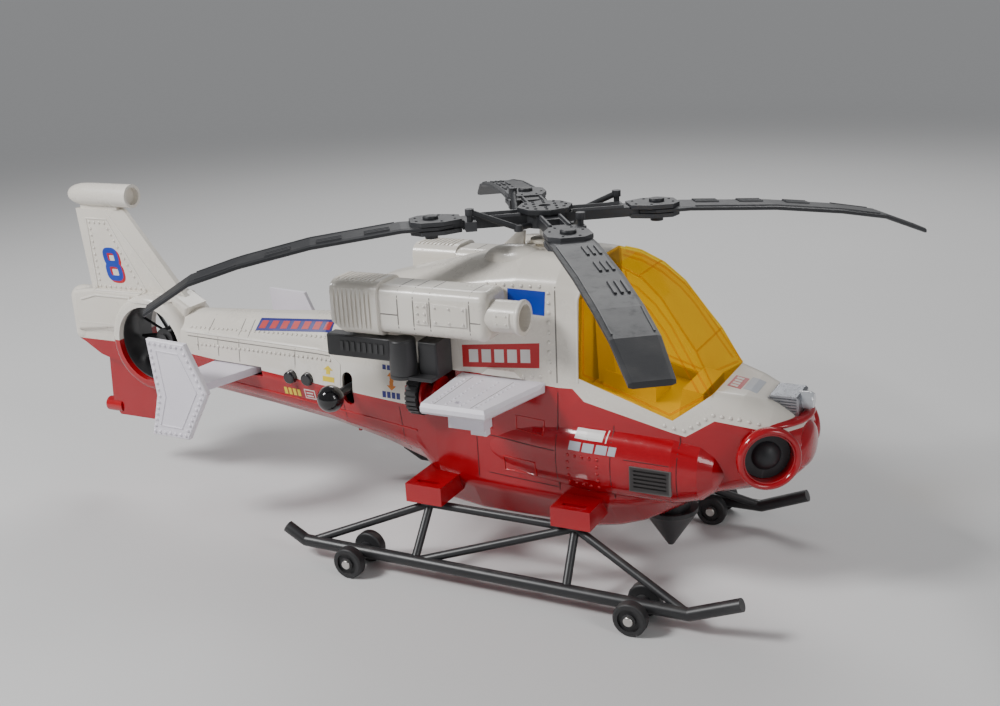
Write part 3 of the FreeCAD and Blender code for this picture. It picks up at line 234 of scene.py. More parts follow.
# %% [markdown]
# ## Metal, lamp silver and clear amber
# The axles are drawn wire, so fine lines run round them and the gloss is uneven. The nose lamp is
# vacuum-metallised plastic: brighter than steel and a little milky in the hollows. The canopy is clear
# amber. Refracting glass would leave the cockpit dark, because light hardly gets through it in a path
# tracer, so a coloured see-through shader is mixed with a glossy skin by viewing angle: it tints what
# lies behind it, and light still reaches the seat.

# %% Metals and glazing
def drawn_wire(name, colour, gloss):
    f = Finish(name)
    rings = f.noise(420.0, 5.0, 0.7)
    tint = f.mix(f.ramp(f.noise(60.0, 4.0), 0.45, 0.75) * 0.5, rgb(*colour), rgb(*shade(colour, 0.6)))
    f.set(Base_Color=tint, Roughness=gloss + 0.18 * rings, Normal=f.bump(rings, 0.00005))
    f.shader.inputs["Metallic"].default_value = 1.0
    return f.material


def amber_glazing():
    f = Finish("clear_amber")
    cloudy = f.ramp(f.noise(24.0, 4.0), 0.3, 0.8)
    through = f.add("ShaderNodeBsdfTransparent")
    f.feed(through.inputs["Color"], f.mix(cloudy, rgb(1.0, 0.87, 0.20), rgb(0.99, 0.83, 0.16)))
    f.set(Base_Color=f.mix(cloudy, rgb(0.80, 0.46, 0.015), rgb(0.72, 0.40, 0.012)),
          Roughness=0.04 + 0.10 * f.ramp(f.noise(90.0, 6.0, 0.7), 0.5, 0.8))
    f.shader.inputs["Coat Weight"].default_value = 0.4
    facing = f.number(f.add("ShaderNodeLayerWeight", {}, {"Blend": 0.35}), "Facing")
    skin = 0.07 + 0.45 * (facing * facing)
    mixed = f.add("ShaderNodeMixShader", {}, {0: skin, 1: through.outputs[0], 2: f.shader.outputs[0]})
    output = f.tree.nodes["Material Output"]
    f.tree.links.new(mixed.outputs[0], output.inputs["Surface"])
    return f.material


steel = drawn_wire("drawn_steel", (0.62, 0.60, 0.57), 0.22)
silver = drawn_wire("lamp_silver", (0.42, 0.43, 0.46), 0.20)
lamp_lens = moulded("lamp_lens", (0.55, 0.57, 0.60), (0.40, 0.42, 0.46), 0.05, grain=0.0, coat=1.0)
amber = amber_glazing()
board_green = moulded("board_green", (0.02, 0.16, 0.06), (0.01, 0.10, 0.04), 0.4)
print("with metals and glazing:", len(bpy.data.materials))


# %% [markdown]
# ## Printed labels
# The toy's labels are vinyl: flat saturated ink with a slight orange-peel gloss and faded patches.

# %% Label inks
def ink(name, colour):
    return moulded(name, colour, shade(colour, 0.8), 0.32, grain=0.04, cloud=0.5)


ink_blue = ink("label_blue", (0.006, 0.045, 0.42))
ink_red = ink("label_red", (0.50, 0.008, 0.012))
ink_white = ink("label_white", (0.74, 0.72, 0.70))
ink_yellow = ink("label_yellow", (0.80, 0.60, 0.03))
ink_navy = ink("label_navy", (0.012, 0.016, 0.20))
ink_silver = ink("label_silver", (0.45, 0.47, 0.52))
ink_orange = ink("label_orange", (0.70, 0.22, 0.01))
print("with inks:", len(bpy.data.materials))


# %% [markdown]
# ## Dressing the frame's own parts
# Each part takes the finish of the moulding it belongs to. Flat-sided parts also get a narrow bevel,
# because a moulded edge is never sharp and the bevel is what catches the light; parts that are already
# round get no bevel.

# %% Finishes on the CAD parts
DRESS = {
    "upper_shell": white, "lower_shell": red, "canopy": amber, "cockpit_tub": inner_cream, "tail_pod": white,
    "tail_fan_bracket": skid_black, "tail_fan": skid_black, "nose_searchlight": silver,
    "searchlight_lens": lamp_lens, "belly_cone": skid_black, "mast_bushes": inner_cream,
    "mast_beam": inner_cream, "battery_box": inner_cream, "battery_cover": red, "batteries": seam_grey,
    "circuit_board": board_green, "button_pad": inner_cream, "speaker": grille_dark, "screws": steel,
    "rotor_shaft": steel, "rotor_hub": blade_black, "ratchet_wheel": inner_cream, "blade_clamps": blade_black,
    "blade_pins": blade_black, "pitch_links": blade_black, "drive_lever": skid_black,
    "lever_knob": gloss_black, "winch_bracket": skid_black, "winch_arm": skid_black,
    "thumbwheel": skid_black, "winch_spool": red, "winch_axle": steel, "button_rear": gloss_black,
    "button_front": gloss_black,
}
for i in range(1, 5):
    DRESS[f"blade_{i}"] = blade_black
for side in SIDES:
    DRESS[f"stabiliser_{side}"] = pale
    DRESS[f"stub_wing_{side}"] = pale
    DRESS[f"nacelle_{side}"] = white
    DRESS[f"exhaust_{side}"] = white
    DRESS[f"headlight_{side}"] = blade_black
    DRESS[f"side_grille_{side}"] = grille_dark
    DRESS[f"skid_{side}"] = skid_black
    for end in ("front", "rear"):
        DRESS[f"axle_{end}_{side}"] = steel
        DRESS[f"wheels_{end}_{side}"] = wheel_black
BEVELLED = {
    "stub_wing": 2.0, "stabiliser": 0.6, "exhaust": 0.35, "winch": 0.3, "rotor_hub": 0.4, "blade_clamps": 0.45,
    "blade_": 0.35, "nose_searchlight": 0.25, "side_grille": 0.2, "cockpit": 1.2,
}


def soften(obj, width, angle=35.0):
    """A narrow bevel on every edge sharper than the angle."""
    bevel = obj.modifiers.new("moulded_edge", "BEVEL")
    bevel.width = width * MM
    bevel.segments = 2
    bevel.limit_method = "ANGLE"
    bevel.angle_limit = math.radians(angle)
    bevel.harden_normals = False


for name, obj in nodes.items():
    obj.data.materials.clear()
    obj.data.materials.append(DRESS[name])
    for prefix, width in BEVELLED.items():
        if name.startswith(prefix):
            soften(obj, width)
            break
print("dressed:", len(nodes))


# %% [markdown]
# ## Laying detail on a surface
# A rivet or a label has to follow the shell below it. Its place is drawn flat, as on a side or top view,
# and a ray from outside finds the shell's surface and slope there. Shrinkwrap could do the same for one
# mesh at a time; a ray gives the exact point for any small piece, so rivets, seams, plates and labels
# all share it. Flat places are in millimetres: x runs to the nose, y to port and z up.

# %% Surface finder
TREES = {}


def tree_of(name):
    if name not in TREES:
        mesh = nodes[name].data
        places = [v.co[:] for v in mesh.vertices]
        TREES[name] = BVHTree.FromPolygons(places, [p.vertices[:] for p in mesh.polygons])
    return TREES[name]


class Ground:
    """The outside of some parts, seen along one direction; flat places become points on it."""

    def __init__(self, names, towards, start):
        self.trees = [tree_of(n) for n in names]
        self.towards = Vector(towards).normalized()
        self.start = start

    def at(self, a, b):
        origin = Vector(self.start(a * MM, b * MM))
        best = None
        for tree in self.trees:
            spot, normal, _, distance = tree.ray_cast(origin, self.towards)
            if spot is not None and (best is None or distance < best[2]):
                best = (spot, normal, distance)
        if best is None:
            return None
        normal = best[1] if best[1].dot(self.towards) < 0 else -best[1]
        return best[0], normal.normalized()


class Bridged:
    """A ground whose gap between two heights is bridged straight across."""

    def __init__(self, ground, low, high):
        self.ground, self.low, self.high = ground, low, high

    def at(self, a, b):
        if not self.low < b < self.high:
            return self.ground.at(a, b)
        below, above = self.ground.at(a, self.low), self.ground.at(a, self.high)
        share = (b - self.low) / (self.high - self.low)
        return below[0].lerp(above[0], share), below[1].lerp(above[1], share).normalized()


def from_side(side, *names):
    """Looking at one side: places are (x, z) in millimetres."""
    return Ground(names, (0, -side, 0), lambda a, b: (a, side * 0.3, b))


def from_above(*names):
    """Looking down: places are (x, y) in millimetres."""
    return Ground(names, (0, 0, -1), lambda a, b: (a, b, 0.5))


def piece(name, vertices, faces, material, body, slot, smooth=True):
    """One visible piece, riding on its body."""
    mesh = bpy.data.meshes.new(name)
    mesh.from_pydata([v[:] for v in vertices], [], faces)
    mesh.validate()
    build = bmesh.new()
    build.from_mesh(mesh)
    bmesh.ops.recalc_face_normals(build, faces=build.faces)
    build.to_mesh(mesh)
    build.free()
    mesh.materials.append(material)
    for polygon in mesh.polygons:
        polygon.use_smooth = smooth
    obj = bpy.data.objects.new(name, mesh)
    bpy.context.collection.objects.link(obj)
    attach(obj, body)
    return obj


def spread(points, pitch, closed=False):
    """Evenly spaced places along a run of straight lines."""
    ends = points + points[:1] if closed else points
    out = []
    for (a0, b0), (a1, b1) in zip(ends, ends[1:]):
        steps = max(1, round(math.hypot(a1 - a0, b1 - b0) / pitch))
        out += [(a0 + (a1 - a0) * i / steps, b0 + (b1 - b0) * i / steps) for i in range(steps)]
    return out if closed else out + [ends[-1]]


sample = from_side(STARBOARD, "upper_shell").at(0, 150)
print("the engine deck's side is", round(abs(sample[0].y) / MM, 1), "mm out from the middle")


# %% [markdown]
# ## Rivets, ribs, seams and plates
# Each is a small function. A rivet is a low dome turned to the surface's slope. A ridge is a strip with
# a raised flat top; made very low and dark it reads as a panel seam. A plate is a grid laid on the
# surface with a sloped skirt, which also makes a label when it is thin.

# %% Detail makers
DOME = ((1.0, -0.15), (0.8, 0.6), (0.4, 0.95))    # a rivet's rings: share of its radius, of its height
ROUND = 8                                         # corners on each ring


def rivets(name, ground, places, material, slot, radius=1.25, height=0.9, body="fuselage"):
    """Low domes on the surface, one at each flat place."""
    vertices, faces = [], []
    for a, b in places:
        found = ground.at(a, b)
        if found is None:
            continue
        spot, normal = found
        side = normal.orthogonal().normalized()
        other = normal.cross(side)
        base = len(vertices)
        for share, rise in DOME:
            for k in range(ROUND):
                t = math.tau * k / ROUND
                flat = side * math.cos(t) + other * math.sin(t)
                vertices.append(spot + flat * (radius * share * MM) + normal * (height * rise * MM))
        vertices.append(spot + normal * (height * MM))
        for ring in (base, base + ROUND):
            for k in range(ROUND):
                n = (k + 1) % ROUND
                faces.append((ring + k, ring + n, ring + ROUND + n, ring + ROUND + k))
        top, tip = base + 2 * ROUND, base + 3 * ROUND
        faces += [(top + k, top + (k + 1) % ROUND, tip) for k in range(ROUND)]
        faces.append(tuple(base + k for k in range(ROUND - 1, -1, -1)))
    return piece(name, vertices, faces, material, body, slot)


STRIP = ((-0.5, -0.1), (-0.32, 1.0), (0.32, 1.0), (0.5, -0.1))    # share of the width, of the height


def ridge(name, ground, runs, width, height, material, slot, body="fuselage", pitch=3.0, closed=False):
    """Strips along the surface; each run is a list of flat places."""
    vertices, faces = [], []
    for run in runs:
        found = [ground.at(a, b) for a, b in spread(run, pitch, closed)]
        found = [f for f in found if f is not None]
        if len(found) < 2:
            continue
        base = len(vertices)
        count = len(found)
        for i, (spot, normal) in enumerate(found):
            before = found[(i - 1) % count if closed else max(i - 1, 0)][0]
            after = found[(i + 1) % count if closed else min(i + 1, count - 1)][0]
            across = (after - before).normalized().cross(normal).normalized()
            for share, rise in STRIP:
                vertices.append(spot + across * (width * share * MM) + normal * (height * rise * MM))
        for i in range(count if closed else count - 1):
            near, far = base + 4 * i, base + 4 * ((i + 1) % count)
            faces += [(near + k, near + k + 1, far + k + 1, far + k) for k in range(3)]
            faces.append((near + 3, near, far, far + 3))
        if not closed:
            faces.append((base, base + 3, base + 2, base + 1))
            last = base + 4 * (count - 1)
            faces.append((last, last + 1, last + 2, last + 3))
    return piece(name, vertices, faces, material, body, slot, smooth=False)


def plate(name, ground, corners, height, material, slot, skirt=0.5, cells=(10, 6)):
    """A raised plate or label; corners are four flat places in order round it."""
    (ax, az), (bx, bz), (cx, cz), (dx, dz) = corners
    across, along = cells
    grid, faces = [], []
    for j in range(along + 1):
        v = j / along
        for i in range(across + 1):
            u = i / across
            x = (1 - v) * ((1 - u) * ax + u * bx) + v * ((1 - u) * dx + u * cx)
            z = (1 - v) * ((1 - u) * az + u * bz) + v * ((1 - u) * dz + u * cz)
            grid.append(ground.at(x, z))
    if None in grid:
        print("plate", name, "misses the surface")
        return None
    top = [spot + normal * (height * MM) for spot, normal in grid]
    centre = sum(top, Vector()) / len(top)
    row = across + 1
    near_edge = [(i, 0) for i in range(across)] + [(across, j) for j in range(along)]
    far_edge = [(across - i, along) for i in range(across)] + [(0, along - j) for j in range(along)]
    rim = [j * row + i for i, j in near_edge + far_edge]
    vertices = list(top)
    for j in range(along):
        for i in range(across):
            k = j * row + i
            faces.append((k, k + 1, k + row + 1, k + row))
    base = len(vertices)
    for k in rim:
        spot, normal = grid[k]
        outward = spot - centre
        outward = (outward - normal * outward.dot(normal)).normalized()
        vertices.append(spot + outward * (skirt * MM) - normal * (0.1 * MM))
    count = len(rim)
    for k in range(count):
        n = (k + 1) % count
        faces.append((rim[k], rim[n], base + n, base + k))
    faces.append(tuple(base + k for k in range(count)))
    return piece(name, vertices, faces, material, "fuselage", slot, smooth=False)


def label_bar(name, ground, corners, lift, colour, slot, cells):
    """A thin printed patch with square edges."""
    return plate(name, ground, corners, lift, colour, slot, skirt=0.05, cells=cells)


print("detail makers: rivets, ridge, plate and label_bar")


# %% [markdown]
# ## Turned and lofted forms
# A sleeve, a lip or a rim is a closed profile turned about an axis. A swelling, such as a roof blister or
# the nose's bulb, is a stack of closed rings joined into one skin with a cap at each end. Blender's own
# spheres could be squashed instead, but rings let one end be fuller than the other.

# %% Ring maker and ring stack
def ring_round(name, centre, axis, profile, material, slot, count=48):
    """A closed profile of (radius, distance along the axis), turned about the axis."""
    axis = axis.normalized()
    first = axis.orthogonal().normalized()
    second = axis.cross(first)
    rows = len(profile)
    vertices = []
    for k in range(count):
        t = math.tau * k / count
        arm = first * math.cos(t) + second * math.sin(t)
        vertices += [centre + arm * (r * MM) + axis * (x * MM) for r, x in profile]
    faces = []
    for k in range(count):
        here, there = k * rows, (k + 1) % count * rows
        faces += [(here + j, here + (j + 1) % rows, there + (j + 1) % rows, there + j) for j in range(rows)]
    return piece(name, vertices, faces, material, "fuselage", slot)


def ring_stack(name, rings, material, slot):
    """A skin over a stack of rings with the same number of corners, closed at both ends."""
    count, last = len(rings[0]), len(rings) - 1
    faces = []
    for j in range(last):
        low, high = j * count, (j + 1) * count
        faces += [(low + k, low + (k + 1) % count, high + (k + 1) % count, high + k) for k in range(count)]
    faces += [tuple(range(last * count, (last + 1) * count)), tuple(range(count - 1, -1, -1))]
    corners = [Vector(corner) * MM for ring in rings for corner in ring]
    return piece(name, corners, faces, material, "fuselage", slot)


def circle(count):
    """Evenly spaced angles right round."""
    return [math.tau * k / count for k in range(count)]


print("form makers: ring_round and ring_stack")


# %% [markdown]
# ## The tail boom
# The boom's sides carry two long rivet rows, a line of vertical panel joints and a printed label. The
# joints are seams: shallow grooves on the real toy, drawn here as fine dark strips.

# %% Boom details
def boom_details(side_name, side):
    ground = from_side(side, "upper_shell")
    rows = [[(-184, 137.4), (-56, 141.4)], [(-177, 126.0), (-50, 128.6)]]
    places = [p for row in rows for p in spread(row, 4.2)]
    rivets(f"boom_rivets_{side_name}", ground, places, white, "white_shell")
    joints = [[(x, z0), (x, 133.0)] for x, z0 in ((-176, 121), (-156, 119), (-135.5, 117), (-82.5, 113))]
    joints += [[(x, 135.4), (x, 146)] for x in (-166, -137, -128)]
    joints += [[(-186, 131.4), (-120, 131.2), (-50, 131.6)]]
    ridge(f"boom_seams_{side_name}", ground, joints, 0.8, 0.06, seam_grey, "white_shell")
    ledge = [(-188, 134.4), (-46, 134.4)]
    ridge(f"boom_ledge_{side_name}", ground, [ledge], 1.8, 0.9, white, "white_shell", pitch=8)
    corner = [(-50, 133), (-41, 127), (-41, 111.5)]
    ridge(f"panel_corner_{side_name}", ground, [corner], 0.9, 0.35, white, "white_shell")
    lower = from_side(side, "lower_shell")
    uprights = [[(-82.5, 84), (-82.5, 110)], [(-41, 78), (-41, 107)], [(8, 68), (8, 103)]]
    ridge(f"boom_red_seams_{side_name}", lower, uprights, 0.8, 0.06, seam_red, "red_shell")
    crease = [(-150, 99), (-90, 95), (-30, 91), (20, 87)]
    ridge(f"boom_red_crease_{side_name}", lower, [crease], 1.6, 0.6, red, "red_shell", pitch=6)
    label = [(-124, 139.8), (-56, 144.4), (-56, 152.0), (-123, 147.4)]
    label_bar(f"boom_label_{side_name}", ground, label, 0.12, ink_navy, "white_shell", (24, 6))
    blocks = 7
    for i in range(blocks):
        a, b = (i + 0.18) / blocks, (i + 0.78) / blocks
        low_a, low_b = 139.8 + 4.6 * a, 139.8 + 4.6 * b
        x_a, x_b = -123.5 + 67 * a, -123.5 + 67 * b
        bar = [(x_a, low_a + 1.5), (x_b, low_b + 1.5), (x_b + 1.2, low_b + 6.2), (x_a + 1.2, low_a + 6.2)]
        label_bar(f"boom_label_block_{side_name}_{i}", ground, bar, 0.24, ink_red, "white_shell", (4, 4))


for name, side in SIDES.items():
    boom_details(name, side)


# %% [markdown]
# ## Fin
# The fin's flat side has a shallow framed panel ringed with rivets and a painted numeral. The numeral is
# two squared ovals, one above the other, in blue over a red shadow. A font could draw it, but two bent
# strips follow the fin's own surface. A thin web closes the groove between tail block and skeg.

# %% Fin details
def oval(cx, cz, rx, rz, lean, count=28):
    """Places round an upright loop, part ellipse and part rectangle, that leans with the fin."""
    out = []
    for i in range(count):
        t = math.tau * i / count
        dx = rx * math.copysign(abs(math.cos(t)) ** 0.6, math.cos(t))
        dz = rz * math.copysign(abs(math.sin(t)) ** 0.6, math.sin(t))
        out.append((cx + dx + lean * dz, cz + dz))
    return out


def fin_details(side_name, side):
    ground = from_side(side, "upper_shell")
    outline = [(-288.5, 213.5), (-267.5, 213.5), (-234, 157.5), (-285, 157)]
    ridge(f"fin_frame_{side_name}", ground, [outline], 1.2, 0.6, white, "white_shell", closed=True)
    ring = [(-285.5, 210.5), (-270, 210.5), (-240.5, 160.2), (-281.8, 159.8)]
    rivets(f"fin_rivets_{side_name}", ground, spread(ring, 5.2, True), white, "white_shell")
    lean = -0.2
    for ink_used, off, lift in ((ink_red, 1.8, 0.10), (ink_blue, 0.0, 0.22)):
        drop = off * 0.7
        upper = oval(-267.4 + off, 183.6 - drop, 5.6, 5.2, lean)
        lower = oval(-265.2 + off, 172.4 - drop, 6.2, 5.6, lean)
        for i, loop in enumerate((upper, lower)):
            ridge(f"fin_numeral_{ink_used.name[6:]}_{i}_{side_name}", ground, [loop], 5.0, lift + i * 0.02,
                  ink_used, "white_shell", pitch=2.0, closed=True)
    front_edge = [(-266.5, 219), (-218, 160)]
    ridge(f"fin_edge_{side_name}", ground, [front_edge], 1.1, 0.5, white, "white_shell", pitch=6)
    web = [(-305, 121.5), (-267.5, 121.5), (-267.5, 130.5), (-305, 130.5)]
    plate(f"tail_web_{side_name}", Bridged(ground, 122.5, 129.6), web, 0.2, white, "white_shell", 0.1, (8, 8))
    saddle = [(-300, 149), (-284, 153.5), (-206, 153.5)]
    ridge(f"saddle_edge_{side_name}", ground, [saddle], 1.6, 0.8, white, "white_shell")


for name, side in SIDES.items():
    fin_details(name, side)


# %% [markdown]
# ## Duct
# The duct's wall is black inside. Colouring part of the shell would need a second finish on it, so a
# thin black sleeve lines the bore, as on the toy, and leaves the fan its clearance.

# %% Duct sleeve
def duct_sleeve():
    low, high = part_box("tail_fan")
    centre = Vector(((low[0] + high[0]) / 2, 0, (low[2] + high[2]) / 2))
    print("duct centre, mm:", round(centre.x / MM, 1), round(centre.z / MM, 1))
    profile = [(29.9, -16.0), (29.4, -16.6), (29.1, -16.0), (29.1, 14.6), (29.9, 14.6)]
    ring_round("duct_sleeve", centre, Vector((0, 1, 0)), profile, skid_black, "black_skid", 72)


duct_sleeve()


# %% [markdown]
# ## Endplates and stub wings
# Both are thin lilac-white mouldings with rivets right round and a slightly sunk centre, shown by a
# low frame inside the rivet line.

# %% Endplate details
def endplate_details(side_name, side):
    ground = from_side(side, f"stabiliser_{side_name}")
    ring = [(-173.8, 142.6), (-145, 141.4), (-130.4, 109.2), (-151, 74.8), (-179.4, 75.2), (-170.4, 103)]
    rivets(f"endplate_rivets_{side_name}", ground, spread(ring, 5.0, True), pale, "pale_wing", 1.45, 1.0)
    inner = [(-168.5, 137.6), (-149, 136.6), (-136.2, 109.2), (-153.6, 80), (-173.4, 80.4), (-165, 103)]
    ridge(f"endplate_frame_{side_name}", ground, [inner], 1.1, 0.5, pale, "pale_wing", closed=True)
    wing = from_above(f"stub_wing_{side_name}")
    rows = [[(67 + i * 12, side * 50), (68.5 + i * 10, side * 95)] for i in range(4)]
    places = [p for row in rows for p in spread(row, 5.2)]
    hole_x, hole_y, clear = 84, 90, 4
    places = [p for p in places if math.hypot(p[0] - hole_x, abs(p[1]) - hole_y) > clear]
    rivets(f"wing_rivets_{side_name}", wing, places, pale, "pale_wing", 1.0, 0.6)
    seams = [[(70, side * 44), (71, side * 97)], [(100, side * 46), (96, side * 97)]]
    ridge(f"wing_seams_{side_name}", wing, seams, 0.5, 0.04, seam_grey, "pale_wing")


for name, side in SIDES.items():
    endplate_details(name, side)


# %% [markdown]
# ## Cabin sides
# The white wall beside the engine carries a rivet row down the door post, a blue plate and a printed
# label; a red shell below has sunk squares of rivets, low rectangles and joints. The labels are plain
# bars here.

# %% Cabin details
def cabin_details(side_name, side):
    wall = from_side(side, "upper_shell")
    column = spread([(123, 192), (122.5, 141), (116, 137), (104, 136)], 6.2)
    rivets(f"post_rivets_{side_name}", wall, column, white, "white_shell", 1.4, 1.0)
    head = spread([(80, 194.5), (117, 195.5)], 6.2)
    rivets(f"post_head_rivets_{side_name}", wall, head, white, "white_shell", 1.3, 0.9)
    seam = [(127.5, 134), (127.5, 196)]
    ridge(f"post_seams_{side_name}", wall, [seam], 1.0, 0.08, seam_grey, "white_shell")
    frame_edge = [(141.5, 136), (141.5, 188), (146, 207)]
    ridge(f"post_edge_{side_name}", wall, [frame_edge], 1.6, 0.6, white, "white_shell")
    blue = [(95, 178), (120, 177), (121, 192.5), (95, 193)]
    label_bar(f"cabin_blue_{side_name}", wall, blue, 0.14, ink_blue, "white_shell", (10, 6))
    label = [(60, 137.6), (115.5, 142.5), (116, 159), (60, 152.5)]
    label_bar(f"cabin_label_{side_name}", wall, label, 0.14, ink_red, "white_shell", (20, 6))
    blocks = [(65 + i * 9.4, 71.8 + i * 9.4, 141.4 + i * 0.85, 150.0 + i * 0.9) for i in range(5)]
    for i, (x0, x1, z0, z1) in enumerate(blocks):
        tilt = 0.09 * (x1 - x0)
        corners = [(x0, z0), (x1, z0 + tilt), (x1, z1 + tilt), (x0, z1)]
        label_bar(f"cabin_label_block_{side_name}_{i}", wall, corners, 0.26, ink_white, "white_shell", (8, 3))
    root = [(75, 135.2), (104, 135.2), (99, 139.2), (80, 139.2)]
    plate(f"wing_root_{side_name}", wall, root, 3.0, white, "white_shell", skirt=0.8)
    lower = from_side(side, "lower_shell")
    frames = [[(98, 100), (118, 99), (118, 108), (98, 109)], [(60, 98), (80, 98), (80, 106), (60, 106)],
              [(88, 70), (112, 70), (112, 80), (88, 80)]]
    ridge(f"cabin_red_frames_{side_name}", lower, frames, 1.2, 0.6, red, "red_shell", closed=True)
    square = [(136.5, 71), (157, 70.5), (157, 90), (136.5, 90)]
    rivets(f"cabin_red_rivets_{side_name}", lower, spread(square, 4.6, True), red, "red_shell")
    uprights = ((128, 62, 128), (166, 62, 111), (209, 68, 109), (68, 62, 120))
    joints = [[(x, low), (x, high)] for x, low, high in uprights]
    joints += [[(175, 92.5), (207, 92.5)], [(70, 93), (127, 91)], [(76, 66), (127, 64)]]
    ridge(f"cabin_red_seams_{side_name}", lower, joints, 0.8, 0.06, seam_red, "red_shell")
    marks = [(141, 160, 101.2, 107, ink_white)]
    words = ((137, 145), (146.5, 154), (155.5, 163), (164, 169))
    marks += [(x0, x1, 93.6, 99.2, ink_silver) for x0, x1 in words]
    marks += [(162, 162.8, 100.8, 107.4, ink_white)]
    for i, (x0, x1, z0, z1, colour) in enumerate(marks):
        leaning = [(x0, z0), (x1, z0), (x1 + 1, z1), (x0 + 1, z1)]
        label_bar(f"cabin_mark_{side_name}_{i}", lower, leaning, 0.16, colour, "red_shell", (5, 4))
    sill = spread([(199, 115.4), (211, 113.4), (228, 124.0), (243, 121.8), (254, 119.4)], 5.4)
    rivets(f"sill_rivets_{side_name}", wall, sill, white, "white_shell")


for name, side in SIDES.items():
    cabin_details(name, side)


# %% [markdown]
# ## Roof
# Two long blisters sit on the roof beside the mast, with a thin web behind it. A stretched half ball,
# flattened below, gives the blister; its rim sinks into the roof so that no gap shows. Its tail end is
# drawn out longer than its front.

# %% Roof blisters and web
def blister(name, centre, radii):
    rows, full = 10, 0.8
    rings = []
    for j in range(rows):
        rise = math.pi / 2 * j / (rows - 1) * 0.98
        flat = math.cos(rise) ** full
        ring = []
        for t in circle(40):
            stretch = 1.0 if math.cos(t) > 0 else 1.35
            ring.append((centre[0] + radii[0] * stretch * math.cos(t) * flat,
                         centre[1] + radii[1] * math.sin(t) * flat,
                         centre[2] + radii[2] * math.sin(rise)))
        rings.append(ring)
    ring_stack(name, rings, white, "white_shell")


for name, side in SIDES.items():
    blister(f"roof_blister_{name}", (93, side * 14.5, 203.5), (19, 11, 12.5))

half = 1.4
web = [(66, 204), (89, 208), (91, 221.5), (86, 221.5)]
corners = [Vector((x * MM, y * MM, z * MM)) for y in (-half, half) for x, z in web]
faces = [(3, 2, 1, 0), (4, 5, 6, 7)] + [(k, (k + 1) % 4, 4 + (k + 1) % 4, 4 + k) for k in range(4)]
soften(piece("roof_web", corners, faces, white, "fuselage", "white_shell", smooth=False), 0.4)


# %% [markdown]
# ## Canopy ribs
# Twin moulded ribs follow the corner between side pane and windscreen, and cross ribs stiffen the
# windscreen. They share the clear amber, so they read a shade darker where the plastic is thicker.

# %% Canopy ribs
def canopy_ribs():
    for name, side in SIDES.items():
        pane = from_side(side, "canopy")
        first = [(225.2, 134.6), (211, 156), (199, 174.5), (189, 186.5)]
        first += [(177, 196), (163, 202.6), (150, 205.4)]
        second = [(x - 3.2, z - 3.4) for x, z in first[1:]]
        second = [(218.5, 136.5)] + second
        ridge(f"canopy_twin_ribs_{name}", pane, [first, second], 1.3, 0.8, amber, "amber_glazing", pitch=4)
        edge = [[(145.5, 190), (145.5, 141.5), (202, 122.5), (222, 134.5)]]
        ridge(f"canopy_edge_rib_{name}", pane, edge, 1.6, 0.5, amber, "amber_glazing", pitch=4)
    top = from_above("canopy")
    across = [[(214, -25.5), (214, 25.5)], [(176, -20.5), (176, 20.5)]]
    along = [[(226, side * 29), (214, side * 26), (191, side * 22.5), (178, side * 20.6), (152, side * 20)]
             for side in SIDES.values()]
    ridge("windscreen_ribs", top, across + along, 1.3, 0.7, amber, "amber_glazing", pitch=4)


canopy_ribs()


# %% [markdown]
# ## Nose
# The nose ends in a soft bulb under a projecting lip, and each round lamp sits in a deep rolled rim. The
# rim is a ring bent round the lamp's own axis, which leans outwards; the bulb is a half ball stretched
# sideways. Both sink into the shell, so they read as one moulding.

# %% Lamp rims, bulb and lip
def lamp_rims():
    yaw = math.radians(58)
    roll, depth = 2.3, 1.6
    rim = [(17.6 + roll * math.cos(t), roll * math.sin(t) * depth) for t in circle(12)]
    for name, side in SIDES.items():
        axis = Vector((math.cos(yaw), side * math.sin(yaw), 0))
        mouth = Vector((259 * MM, side * 30 * MM, 99 * MM)) + axis * (3.2 * MM)
        ring_round(f"lamp_rim_{name}", mouth, axis, rim, red, "red_shell")


def nose_bulb():
    rows, full = 9, 0.7
    rings = []
    for j in range(rows):
        rise = math.pi / 2 * j / (rows - 1) * 0.97
        flat = math.cos(rise) ** full
        ahead, wide, high = 271.5 + 9.5 * math.sin(rise), 20.5 * flat, 15.5 * flat
        rings.append([(ahead, wide * math.cos(t), 98.5 + high * math.sin(t)) for t in circle(40)])
    ring_stack("nose_bulb", rings, red, "red_shell")


def nose_lip():
    """A bar bent round the nose, thinner towards both ends."""
    turns = 28
    rings = []
    for j in range(turns + 1):
        along = math.pi * (j / turns - 0.5)
        ahead = max(0.0, math.cos(along))
        thick = 0.35 + 0.65 * ahead ** 0.5
        middle = Vector((249 + 26.5 * ahead, 30 * math.sin(along), 116.5 + 1.5 * ahead))
        outward = Vector((math.cos(along), math.sin(along), 0)) * (4.2 * thick)
        upward = Vector((0, 0, 2.2 * thick))
        rings.append([middle + outward * math.cos(t) + upward * math.sin(t) for t in circle(12)])
    ring_stack("nose_lip", rings, red, "red_shell")


lamp_rims()
nose_bulb()
nose_lip()


# %% [markdown]
# ## Control labels and deck labels
# Beside the lever and the thumbwheel the toy prints small arrows. They are flat plates with plain
# shapes: an arrow is a triangle over a short bar, so the plate maker lays both.

# %% Controls
def arrow(name, ground, x, z, width, height, up, colour, slot):
    """A printed arrow, pointing up or down, about a middle place."""
    sign = 1 if up else -1
    base, tip = z - sign * height / 2, z + sign * height / 2
    head = [(x - width / 2, z), (x + width / 2, z), (x + 0.2, tip), (x - 0.2, tip)]
    stem = [(x - width / 5, base), (x + width / 5, base), (x + width / 5, z), (x - width / 5, z)]
    for part, corners in (("head", head), ("stem", stem)):
        label_bar(f"{name}_{part}", ground, corners, 0.16, colour, slot, (4, 4))


